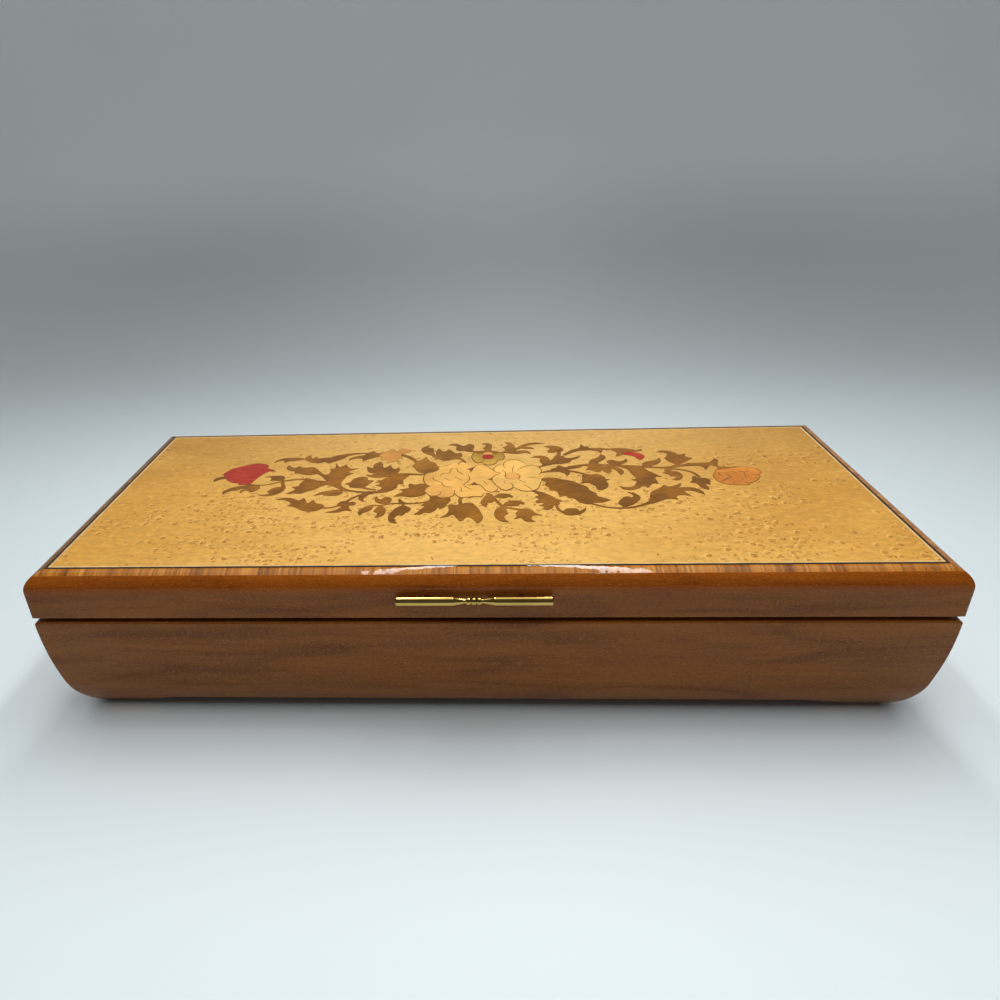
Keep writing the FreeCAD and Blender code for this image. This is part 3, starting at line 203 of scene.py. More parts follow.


# %% [markdown]
# ## Brown veneer
# The walls and the lid's rails are faced with a reddish-brown veneer. Its grain runs along each piece, with
# wavy darker bands that come and go, fine streaks and short pale flecks, under thick gloss. Noises
# stretched along the grain do it, a slow one for the bands and finer ones for the rest. Where the lid
# rounds over, painted light makes the colour a deeper, brighter orange, as that edge looks where it takes
# the light, so the height of a point shifts the colour.
# The arrises are rubbed through a little and catch the light, which a bevel of the shading shows. The same
# recipe is mixed twice, for grain along the length and for grain along the depth.

# %% Mix the brown veneer
LID_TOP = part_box("maple_field")[1].z
PAINTED_EDGE_FROM, PAINTED_EDGE_TO = 0.0075, 0.0050


def brown_veneer(name, along):
    recipe = Recipe(name)

    def fibres(length, width, **more):
        across = 1 / width
        sides = (1 / length, across, across) if along == "x" else (across, 1 / length, across)
        return recipe.grain(*sides, **more)

    bands = recipe.ramp(
        fibres(0.060, 0.0090, detail=2.5, rough=0.5, swirl=1.0),
        (0.33, (0.200, 0.055, 0.0080)), (0.47, (0.262, 0.079, 0.0105)), (0.66, (0.305, 0.099, 0.0135)),
    )
    streaks = recipe.ramp(fibres(0.030, 0.0013, detail=4.0, rough=0.62), (0.34, 0.80), (0.58, 1.0))
    pores = recipe.ramp(fibres(0.0024, 0.00028, detail=2.0), (0.36, 0.66), (0.50, 1.0))
    flecks = recipe.ramp(fibres(0.0009, 0.00026, detail=1.0), (0.54, 0.0), (0.66, 1.0))
    colour = recipe.glazed(recipe.glazed(bands, streaks, 0.7), pores, 0.6)
    colour = recipe.blend(recipe.sum("MULTIPLY", flecks, 0.30), colour, (0.52, 0.23, 0.070))
    # Painted light: the rounded edge of the lid is coloured a deeper, brighter orange for how it takes the
    # light.
    painted_edge_light = recipe.fading(recipe.split()[2], LID_TOP - PAINTED_EDGE_FROM, LID_TOP - PAINTED_EDGE_TO)
    recipe.set(Base_Color=recipe.blend(painted_edge_light, colour, recipe.glazed(colour, (1.22, 0.92, 0.45))))
    recipe.lacquered()
    arris = recipe.add("Bevel", {"samples": 4}, Radius=0.0005)
    bump = recipe.add("Bump", Height=pores, Strength=0.12, Distance=0.00005, Normal=arris)
    recipe.set(Normal=bump, Coat_Normal=arris)
    return recipe.material


veneer_long = brown_veneer("brown_veneer_long", "x")
veneer_deep = brown_veneer("brown_veneer_deep", "y")
dress(veneer_long, "case_front", "case_back", "lid_rail_front", "lid_rail_back")
dress(veneer_deep, "case_left", "case_right", "lid_rail_left", "lid_rail_right")

# %% [markdown]
# ## The crossband
# Round the lid's top runs a narrow band of striped veneer whose grain points outwards, so its stripes cross
# the edge. One piece holds all four strips, mitred at the corners. The recipe therefore asks which strip a
# point is on: past the mitre line, where x less half the difference of the sides is more than y, the
# stripes count along y, and elsewhere along x. The left strip is darker and greyer than the others. Dark glue
# shows along the inner edge, beside the string. The lacquer over it is rubbed by hand, so a bump gives the
# coat slight waves, which break up the glare of the lamps.

# %% Mix the crossband
def crossband_veneer():
    recipe = Recipe("crossband_veneer")
    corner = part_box("string_dark")[1]
    right, back = recipe.split()[:2]
    x, y = recipe.sum("ABSOLUTE", right), recipe.sum("ABSOLUTE", back)
    past_mitre = recipe.sum("GREATER_THAN", recipe.sum("SUBTRACT", x, corner.x - corner.y), y)
    across = recipe.add("Mix", {"data_type": "FLOAT"})
    recipe.give_in_order((across.inputs[0], across.inputs[2], across.inputs[3]), past_mitre, right, back)
    out = recipe.sum("MULTIPLY", recipe.sum("ADD", x, y), 0.12)
    spot = recipe.add("CombineXYZ", X=across.outputs[0], Y=out)

    def stripes(width):
        place = recipe.add("Mapping", Vector=spot, Scale=(1 / width, 90, 1))
        return recipe.add("TexNoise", Vector=place, Scale=1.0, Detail=3.0, Roughness=0.62)

    wide = recipe.ramp(
        stripes(0.0052),
        (0.32, (0.30, 0.088, 0.007)), (0.50, (0.54, 0.190, 0.019)), (0.70, (0.70, 0.290, 0.040)),
    )
    fine = recipe.ramp(stripes(0.0011), (0.38, 0.42), (0.52, 1.0))
    colour = recipe.glazed(wide, fine, 0.8)
    left_strip = recipe.sum("MULTIPLY", recipe.sum("LESS_THAN", right, 0.0), past_mitre)
    colour = recipe.blend(left_strip, colour, recipe.glazed(colour, (0.50, 0.52, 0.60)))
    inside = recipe.sum("MAXIMUM", recipe.sum("SUBTRACT", x, corner.x), recipe.sum("SUBTRACT", y, corner.y))
    glue_line = recipe.fading(inside, 0.00025, 0.00075, 1.0, 0.0)
    recipe.set(Base_Color=recipe.blend(glue_line, colour, (0.035, 0.014, 0.004)))
    recipe.lacquered(coat_index=1.42)
    waves = recipe.grain(150, detail=2.0)
    recipe.set(Coat_Normal=recipe.add("Bump", Height=waves, Strength=1.0, Distance=0.00012))
    return recipe.material


dress(crossband_veneer(), "crossband")

# %% [markdown]
# ## Maple field and string lines
# The field is bird's-eye maple: golden, with a soft cloudy figure, fine curls along the grain and small
# darker eyes that gather in drifts, more of them towards the front. Voronoi cells place the eyes in two
# sizes, and the distance to a cell's point draws a large one as a small dark ring with a painted highlight
# beside it, set off to one side as light falls on a dimple. A cell's own random colour is held against a slow
# noise, so that many are kept inside a drift and few outside. The middle of the sheet is paler than its ends,
# and painted shade darkens and cools it towards the back, where the light falls off. Two strings frame the
# field, a pale one inside and a dark one outside.

# %% Mix the maple and the strings
def maple():
    recipe = Recipe("maple_veneer")
    right, back = recipe.split()[:2]
    clouds = recipe.grain(14, 26, swirl=0.8)

    def sheet(*tones):
        return recipe.ramp(clouds, *zip((0.30, 0.50, 0.72), tones))

    warm = sheet((0.62, 0.290, 0.042), (0.70, 0.345, 0.054), (0.77, 0.395, 0.070))
    pale = sheet((0.78, 0.420, 0.092), (0.85, 0.480, 0.118), (0.91, 0.525, 0.145))
    figure = recipe.blend(recipe.fading(recipe.sum("ABSOLUTE", right), 0.02, 0.15), pale, warm)
    mottle = recipe.ramp(recipe.grain(330, 560, detail=4.0, rough=0.65), (0.34, 0.78), (0.60, 1.0))
    curls = recipe.ramp(recipe.grain(70, 430, rough=0.6, swirl=1.1), (0.36, 0.84), (0.52, 1.0))
    colour = recipe.glazed(recipe.glazed(figure, mottle, 0.8), curls, 0.42)
    drifts = recipe.ramp(recipe.grain(19, 34, detail=2.5, swirl=0.5), (0.42, 0.02), (0.60, 0.62))
    drifts = recipe.sum("MULTIPLY", drifts, recipe.fading(back, -0.02, 0.04, 1.0, 0.4))
    wander = recipe.add("TexNoise", Vector=recipe.place, Scale=520.0, Detail=1.5)

    def eyes(scale, aside, *ring):
        shifted = recipe.add("VectorMath", {"operation": "MULTIPLY_ADD"})
        recipe.give_in_order(shifted.inputs, wander.outputs[1], (0.0030, 0.0024, 0.0), recipe.place)
        moved = recipe.add("Mapping", Vector=shifted, Location=(aside, -aside, 0.0))
        flat = {"voronoi_dimensions": "2D"}
        cells = recipe.add("TexVoronoi", flat, Vector=moved, Scale=scale, Randomness=1.0)
        drawn = recipe.ramp(cells.outputs["Distance"], *ring)
        kept = recipe.add("SeparateColor", Color=cells.outputs["Color"])
        chosen = recipe.sum("LESS_THAN", kept.outputs[0], drifts)
        weight = recipe.sum("MULTIPLY_ADD", kept.outputs[1], 0.55, 0.45)
        return recipe.sum("MULTIPLY", recipe.sum("MULTIPLY", drawn, chosen), weight)

    large, small = 270.0, 470.0
    # Painted highlight: a pale crescent set off to one side of each large eye, as light falls on a dimple.
    painted_eye_highlights = eyes(large, 0.00055, (0.10, 0.45), (0.26, 0.35), (0.36, 0.0))
    dark_rings = eyes(large, 0.0, (0.06, 0.45), (0.13, 1.0), (0.19, 1.0), (0.27, 0.0))
    colour = recipe.blend(painted_eye_highlights, colour, (0.98, 0.62, 0.19))
    colour = recipe.blend(dark_rings, colour, (0.36, 0.130, 0.012))
    colour = recipe.blend(eyes(small, 0.0, (0.12, 1.0), (0.28, 0.0)), colour, (0.38, 0.140, 0.013))
    lighter = recipe.ramp(recipe.grain(300, 460, detail=1.5), (0.60, 0.0), (0.74, 1.0))
    colour = recipe.blend(recipe.sum("MULTIPLY", lighter, 0.35), colour, (0.94, 0.56, 0.135))
    # Painted shade: the field darkens and cools towards the back, where the light falls off.
    painted_back_shade = recipe.fading(back, -0.02, 0.06)
    recipe.set(Base_Color=recipe.blend(painted_back_shade, colour, recipe.glazed(colour, (0.86, 0.88, 0.95))))
    recipe.lacquered(0.3)
    return recipe.material


def string_line(name, dark, light):
    recipe = Recipe(name)
    recipe.set(Base_Color=recipe.ramp(recipe.grain(240, 240, 600, detail=4.0), (0.3, dark), (0.7, light)))
    recipe.lacquered()
    return recipe.material


dress(maple(), "maple_field")
dress(string_line("light_string", (0.60, 0.36, 0.12), (0.80, 0.55, 0.24)), "string_light")
dress(string_line("dark_string", (0.012, 0.007, 0.004), (0.05, 0.024, 0.012)), "string_dark")

# %% [markdown]
# ## Plain woods
# The bottom board, the board under the lid's veneer and the window's ledges are plywood, and a fibre card
# closes the lid inside. These are unlacquered, so they are rough, with a plain grain or fibre. The bottom
# board's upper face is stained wine red, so that no pale wood shows beside the velvet.

# %% Mix plywood and card
def plain_wood(name, dark, light, length, width, roughness, stained_from=1.0):
    """Dry wood or fibre. What lies higher than stained_from, in metres, is stained wine red."""
    recipe = Recipe(name)
    fibre = recipe.grain(1 / length, 1 / width, detail=5.0, rough=0.6)
    colour = recipe.ramp(fibre, (0.3, dark), (0.7, light))
    stain = recipe.sum("GREATER_THAN", recipe.split()[2], stained_from)
    recipe.set(Base_Color=recipe.blend(stain, colour, (0.10, 0.012, 0.014)), Roughness=roughness)
    recipe.bump(fibre, 0.25, 0.0001)
    return recipe.material


def plywood(name, **more):
    return plain_wood(name, (0.36, 0.20, 0.09), (0.60, 0.40, 0.21), 0.05, 0.0016, 0.62, **more)


just_under_its_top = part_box("bottom_board")[1].z - 0.0002
dress(plywood("plywood"), "lid_board", "window_ledges")
dress(plywood("stained_plywood", stained_from=just_under_its_top), "bottom_board")
dress(plain_wood("fibre_card", (0.33, 0.25, 0.17), (0.47, 0.37, 0.26), 0.002, 0.001, 0.9), "lid_card")

# %% [markdown]
# ## Metals, plastic and the window
# Brass is polished on the handle and the hinges and plainer on the wheels. Steel makes the comb, the arbors
# and the screws, and the bedplate is a gold-lacquered casting. A metal's look comes from what it reflects,
# so the recipes mostly vary roughness: fine turning marks for brass, brushing for steel, a sandy bump for
# the casting. The window is clear and thin, so a low alpha shows the movement through it. Alpha thins its
# gloss too, and a higher IOR makes up for that.

# %% Mix the metals
def metal(name, dark, light, rough_low, rough_high, length, width, bump=0.0):
    recipe = Recipe(name)
    marks = recipe.grain(1 / length, 1 / width, detail=4.0, rough=0.65)
    tone = recipe.add("TexNoise", Vector=recipe.place, Scale=90.0, Detail=3.0)
    recipe.set(Base_Color=recipe.ramp(tone, (0.3, dark), (0.7, light)), Metallic=1.0)
    spread = recipe.add("MapRange", Value=marks)
    recipe.give_in_order(spread.inputs[1:5], 0.3, 0.7, rough_low, rough_high)
    recipe.set(Roughness=spread)
    if bump:
        recipe.bump(marks, bump, 0.00004)
    return recipe.material


polished_brass = metal("polished_brass", (0.50, 0.315, 0.080), (0.62, 0.41, 0.12), 0.10, 0.18, 0.0004, 0.004)
wheel_brass = metal("wheel_brass", (0.66, 0.44, 0.16), (0.80, 0.58, 0.26), 0.22, 0.36, 0.0006, 0.0006, 0.1)
bright_steel = metal("bright_steel", (0.36, 0.365, 0.38), (0.50, 0.50, 0.52), 0.24, 0.38, 0.004, 0.0003, 0.12)
spring_steel = metal("spring_steel", (0.20, 0.23, 0.30), (0.34, 0.36, 0.42), 0.25, 0.38, 0.004, 0.0003)
cast_plate = metal("cast_plate", (0.40, 0.29, 0.125), (0.52, 0.39, 0.18), 0.34, 0.5, 0.0005, 0.0005, 0.5)
dress(polished_brass, "handle_nuts", "hinge_leaves_case", "hinge_leaves_lid", "hinge_pins")
dress(polished_brass, "hinge_screws_case", "hinge_screws_lid")
dress(
    wheel_brass, "cylinder_drum", "cylinder_pinion", "great_wheel", "barrel_cover", "worm_wheel",
    "winding_key",
)
dress(
    bright_steel, "comb", "cylinder_arbor", "cylinder_bracket", "relay_arbor", "governor_worm",
    "governor_frame", "barrel_drum", "barrel_bridge", "winding_arbor", "start_pin", "start_spring",
    "start_bracket", "movement_screws", "small_screws",
)
dress(spring_steel, "mainspring")
dress(cast_plate, "bedplate")

# %% Mix the fan's plastic and the clear window
def fan_plastic():
    recipe = Recipe("fan_plastic")
    specks = recipe.grain(2500, detail=2.0)
    tone = recipe.ramp(specks, (0.3, (0.018, 0.018, 0.02)), (0.7, (0.04, 0.04, 0.043)))
    recipe.set(Base_Color=tone, Roughness=0.45)
    recipe.bump(specks, 0.15, 0.00003)
    return recipe.material


def clear_window():
    recipe = Recipe("clear_window")
    smears = recipe.grain(25, 60, detail=4.0)
    tone = recipe.ramp(smears, (0.3, (0.20, 0.24, 0.24)), (0.7, (0.34, 0.39, 0.39)))
    recipe.set(Base_Color=tone, Alpha=0.10, IOR=2.2)
    recipe.set(Roughness=recipe.add("MapRange", Value=smears, To_Min=0.02, To_Max=0.10))
    return recipe.material


dress(fan_plastic(), "governor_fan")
dress(clear_window(), "window_pane")

# %% [markdown]
# ## The turned handle
# The handle is a brass bar with a narrow waist of three beads, held by two studs through the lid's front
# rail. A bar like this is turned on a lathe, so here too a profile of radii is spun round its axis. The
# beads are rounded, which the solid model leaves as plain cones, so this piece stands in for it. Each
# corner of the profile has a second ring close beside it, which keeps the bar's gloss straight.

# %% Turn the handle
def skin(mesh, loops):
    """Makes a closed solid of a row of loops: faces from each to the next, and a face at either end."""
    for near, far in zip(loops, loops[1:]):
        for i in range(len(near)):
            mesh.faces.new((near[i - 1], near[i], far[i], far[i - 1]))
    mesh.faces.new(loops[0])
    mesh.faces.new(loops[-1][::-1])


def spun(mesh, rings, centre, axis, sides=48):
    """Adds a closed turned form to the mesh. rings are (place along the axis, radius) in millimetres."""
    turned = Vector((1, 0, 0)).rotation_difference(Vector(axis)).to_matrix()
    loops = []
    for along, radius in rings:
        loop = []
        for side in range(sides):
            angle = 2 * math.pi * side / sides
            spot = Vector((along, radius * math.cos(angle), radius * math.sin(angle)))
            loop.append(mesh.verts.new((turned @ spot + Vector(centre)) / 1000))
        loops.append(loop)
    skin(mesh, loops)


def built(name, mesh, material, body, smooth=35):
    """Makes an object of the mesh, with its finish, on its body."""
    bmesh.ops.recalc_face_normals(mesh, faces=mesh.faces)
    data = bpy.data.meshes.new(name)
    mesh.to_mesh(data)
    mesh.free()
    made = placed(name, data)
    data.materials.append(material)
    if smooth:
        data.shade_smooth()
        data.set_sharp_from_angle(angle=math.radians(smooth))
    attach(made, body)
    return made


bar_low, bar_high = (corner * 1000 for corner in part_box("handle_bar"))
bar, neck, bead_height, bead_pitch = 1.6, 0.78, 0.52, 1.7
half_bar, waist = (bar_high.x - bar_low.x) / 2, 6.35
centre = ((bar_low.x + bar_high.x) / 2, bar_low.y + bar, (bar_low.z + bar_high.z) / 2)
arm = [(-half_bar + inwards, radius) for inwards, radius in ((0, 1.2), (0.12, 1.45), (0.4, bar), (0.5, bar))]
arm += [(-waist + inwards, radius) for inwards, radius in ((-0.4, bar), (-0.3, bar), (0, 1.68), (0.25, 1.5))]
arm += [(-4.6, 1.18), (-3.2, 0.86)]
rings = arm + [(-1.5 * bead_pitch, neck)]
for bead in (-1, 0, 1):
    for step in range(1, 8):
        angle = math.pi * step / 8
        along = bead * bead_pitch - bead_pitch / 2 * math.cos(angle)
        rings.append((along, neck + bead_height * math.sin(angle) ** 0.8))
    rings.append((bead * bead_pitch + bead_pitch / 2, neck))
rings += [(-along, radius) for along, radius in reversed(arm)]
lathe = bmesh.new()
spun(lathe, rings, centre, (1, 0, 0))
stud, stud_length, stud_reach = 0.8, 16.2, 15
for side in (-1, 1):
    foot = (centre[0] + side * stud_reach, *centre[1:])
    spun(lathe, [(0, stud), (stud_length, stud)], foot, (0, 1, 0), 24)
handle = built("turned_handle", lathe, polished_brass, "lid")
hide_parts("handle_bar")
print("handle rings:", len(rings))

# %% [markdown]
# ## How the marquetry is cut
# In marquetry each petal and leaf is sawn from its own veneer and let in flush, so each one here is a thin
# slab with its own outline. An outline is a handful of points in millimetres from the middle of
# the lid. The line bends smoothly through them and stays sharp where a point is marked as a tip. A stem is
# a list of points with a width, for its two sides. The slabs stand proud by about a tenth of a millimetre,
# each a hair higher than the one before, so that none lies exactly in another's plane. Hot sand and the saw
# leave a thin dark rim round a piece, so a slightly wider dark slab lies under each one that has a rim.

# %% Tools for cutting veneer
HAIR, SUNK = 0.0003, 0.2
slabs_cut = 0


def tip(x, y):
    """A sharp point of an outline."""
    return (x, y, "tip")


def smoothed(points, closed, steps=5):
    """The points of a smooth line through the given ones. Numbers after x and y are carried along."""
    sharp = [len(point) > 2 and point[2] == "tip" for point in points]
    spots = [Vector(point[:2]) if flag else Vector(point) for point, flag in zip(points, sharp)]
    count = len(spots)
    line = []
    for i in range(count if closed else count - 1):
        here, there = spots[i], spots[(i + 1) % count]
        span = (there - here).length

        def lean(at):
            open_end = not closed and at in (0, count - 1)
            if sharp[at % count] or open_end:
                return there - here
            return (spots[(at + 1) % count] - spots[at - 1]).normalized() * span

        start, end = lean(i), lean((i + 1) if closed or i + 1 < count else count - 1)
        for step in range(steps):
            t = step / steps
            a, b = 2 * t**3 - 3 * t**2 + 1, t**3 - 2 * t**2 + t
            c, d = 3 * t**2 - 2 * t**3, t**3 - t**2
            line.append(here * a + start * b + there * c + end * d)
    if not closed:
        line.append(spots[-1])
    return line


def leaf(*points):
    """The outline of a leaf or petal."""
    return [(spot.x, spot.y) for spot in smoothed(points, True)]


def stem(*points):
    """The outline of a stem or saw line. Each point is x, y and the width there."""
    line = smoothed(points, False)
    left, right = [], []
    for i, spot in enumerate(line):
        ahead = line[min(i + 1, len(line) - 1)] - line[max(i - 1, 0)]
        aside = Vector((-ahead.y, ahead.x)).normalized() * max(spot.z, 0.05) / 2
        left.append((spot.x + aside.x, spot.y + aside.y))
        right.append((spot.x - aside.x, spot.y - aside.y))
    return left + right[::-1]


def line(width, *points):
    """A saw line of even width that thins towards its ends."""
    ends = (0, len(points) - 1)
    return stem(*[(x, y, width * (0.5 if i in ends else 1.0)) for i, (x, y) in enumerate(points)])


def runs_left(outline):
    """Whether the outline runs counter-clockwise, seen from above."""
    return sum(x * outline[i - 1][1] - outline[i - 1][0] * y for i, (x, y) in enumerate(outline)) < 0


def widened(outline, width):
    """The outline moved outwards by the width, for the dark rim that a saw cut leaves."""
    side = -1 if runs_left(outline) else 1
    moved = []
    for i, (x, y) in enumerate(outline):
        before, after = Vector(outline[i - 1]), Vector(outline[(i + 1) % len(outline)])
        along = (after - before).normalized() * side
        moved.append((x - along.y * width, y + along.x * width))
    return moved


def let_in(name, material, height, outlines, rim=0.0):
    """Lets outlines of one veneer in the lid's field, standing proud by height and sunk by SUNK, in mm."""
    global slabs_cut
    if rim:
        rims = [widened(outline, rim) for outline in outlines]
        let_in(name + "_rims", scorched_rim, height, rims)
    mesh = bmesh.new()
    for outline in outlines:
        slabs_cut += 1
        ordered = outline if runs_left(outline) else outline[::-1]
        top = LID_TOP + (height + slabs_cut * HAIR) / 1000
        upper = [mesh.verts.new((x / 1000, y / 1000, top)) for x, y in ordered]
        lower = [mesh.verts.new((x / 1000, y / 1000, LID_TOP - SUNK / 1000)) for x, y in ordered]
        mesh.faces.new(upper)
        mesh.faces.new(lower[::-1])
        for i in range(len(ordered)):
            mesh.faces.new((upper[i - 1], lower[i - 1], lower[i], upper[i]))
    made = built(name, mesh, material, "lid", smooth=0)
    print(name, "slabs:", len(outlines))


# %% [markdown]
# ## Veneers of the marquetry
# The leaves are brown veneers, some redder, some greyer, scorched a little darker towards one side by the
# old trick of dipping them in hot sand. The flowers are pale cream with fine saw lines, and there are dyed
# red, orange and olive pieces. One recipe serves them all: two tones, a fine grain and slow scorch clouds.

# %% Mix the marquetry veneers
def dyed_veneer(name, dark, light, scorch=0.35):
    recipe = Recipe(name)
    fibre = recipe.grain(260, 1300, detail=4.0, rough=0.62)
    tone = recipe.ramp(fibre, (0.36, dark), (0.62, light))
    clouds = recipe.ramp(recipe.grain(75, detail=2.0), (0.38, 1.0 - scorch), (0.62, 1.0))
    recipe.set(Base_Color=recipe.glazed(tone, clouds))
    recipe.lacquered(0.32)
    return recipe.material


leaf_brown = dyed_veneer("leaf_brown", (0.26, 0.093, 0.0065), (0.37, 0.142, 0.0125))
leaf_red_brown = dyed_veneer("leaf_red_brown", (0.31, 0.112, 0.0075), (0.42, 0.165, 0.015))
leaf_grey_brown = dyed_veneer("leaf_grey_brown", (0.29, 0.113, 0.0095), (0.40, 0.162, 0.018))
petal_cream = dyed_veneer("petal_cream", (0.87, 0.475, 0.105), (0.95, 0.55, 0.145), 0.16)
petal_yellow = dyed_veneer("petal_yellow", (0.82, 0.43, 0.092), (0.90, 0.49, 0.12), 0.16)
petal_orange = dyed_veneer("petal_orange", (0.68, 0.21, 0.022), (0.82, 0.305, 0.045), 0.25)
petal_pale_orange = dyed_veneer("petal_pale_orange", (0.61, 0.25, 0.042), (0.72, 0.325, 0.068), 0.2)
petal_peach = dyed_veneer("petal_peach", (0.76, 0.365, 0.075), (0.84, 0.43, 0.10), 0.14)
petal_red = dyed_veneer("petal_red", (0.4, 0.026, 0.012), (0.52, 0.052, 0.024), 0.25)
petal_olive = dyed_veneer("petal_olive", (0.53, 0.285, 0.034), (0.66, 0.37, 0.053), 0.3)
flower_heart = dyed_veneer("flower_heart", (0.76, 0.34, 0.075), (0.84, 0.42, 0.11), 0.1)
saw_line = dyed_veneer("saw_line", (0.17, 0.06, 0.006), (0.26, 0.1, 0.012), 0.2)
scorched_rim = dyed_veneer("scorched_rim", (0.10, 0.034, 0.004), (0.17, 0.060, 0.007), 0.2)

# %% [markdown]
# ## Left side: the red bud and its scrolls
# A red bud hangs at the far left on a stem that rolls back into palmate leaves. The shapes are read off the
# photograph, a few points to each lobe. Stems are cut first, so that the leaves lie over their ends.

# %% Cut the left stems
left_stems = [
    stem((-92.5, 4.4, 0.9), (-88.6, 3.8, 0.8), (-85, 4.8, 0.9), (-81, 7, 1), (-76.5, 8.6, 1.2),
         (-72, 8.9, 1.5), (-68, 7.6, 2.2)),
    stem((-81.6, 11.6, 1.3), (-80.8, 8, 1.2), (-80, 5, 1.3), (-78.9, 1.6, 1.7), (-79.6, -1.6, 2.6),
         (-81.8, -4.4, 2.4), (-84.4, -5.5, 1.4), (-87.6, -4.8, 0.3)),
    stem((-67.6, 15.6, 2), (-65.2, 12.6, 1.3), (-62.8, 8.8, 1.1), (-60.6, 5, 1)),
    stem((-66, 6, 3), (-61, 4.6, 2.4), (-57, 2, 2.4), (-53.6, -1.2, 1.8), (-49.6, -2.9, 1.3),
         (-45, -3.9, 1.5), (-40.6, -3.8, 1.6)),
    stem((-60, -16.6, 1.2), (-57.4, -16.9, 0.9), (-54.6, -15.8, 0.9), (-52, -14.2, 1.2),
         (-50.6, -11, 1.3), (-48.6, -8, 1.2), (-45.6, -5.6, 1.2), (-42, -4.6, 1.6)),
    stem((-51, 34.9, 1.2), (-46, 34.6, 1.2), (-42, 33.8, 1.4), (-38.6, 33, 1.4)),
    stem((-35.6, 33.2, 1.2), (-33, 32, 2), (-30.4, 29.8, 2), (-28, 26.6, 1.8), (-26.6, 23.6, 1.6)),
    stem((-34, 11.6, 3.2), (-30, 12.6, 2), (-26, 12.3, 1.4), (-22.4, 11.6, 0.9)),
    stem((-20, 31.4, 1.6), (-17, 29.6, 2)),
    stem((-10, 28.8, 1.8), (-7.6, 26.4, 1.2), (-6, 23.2, 0.8)),
    stem((-19.6, -12.6, 0.9), (-24, -13.9, 0.9), (-29, -14.1, 1), (-33.4, -13.8, 0.9),
         (-37.4, -15.4, 0.9), (-40.6, -15.4, 1), (-43, -17, 1.2)),
    stem((-28.8, -14.2, 0.8), (-29.2, -16.4, 0.9)),
    stem((-37, -15.2, 0.7), (-37.2, -17, 0.9)),
    stem((-21.6, 0.6, 1.2), (-18.6, 1.5, 1.5), (-15, 2.6, 0.6)),
]
let_in("inlay_stems_left", leaf_brown, 0.02, left_stems, rim=0.1)

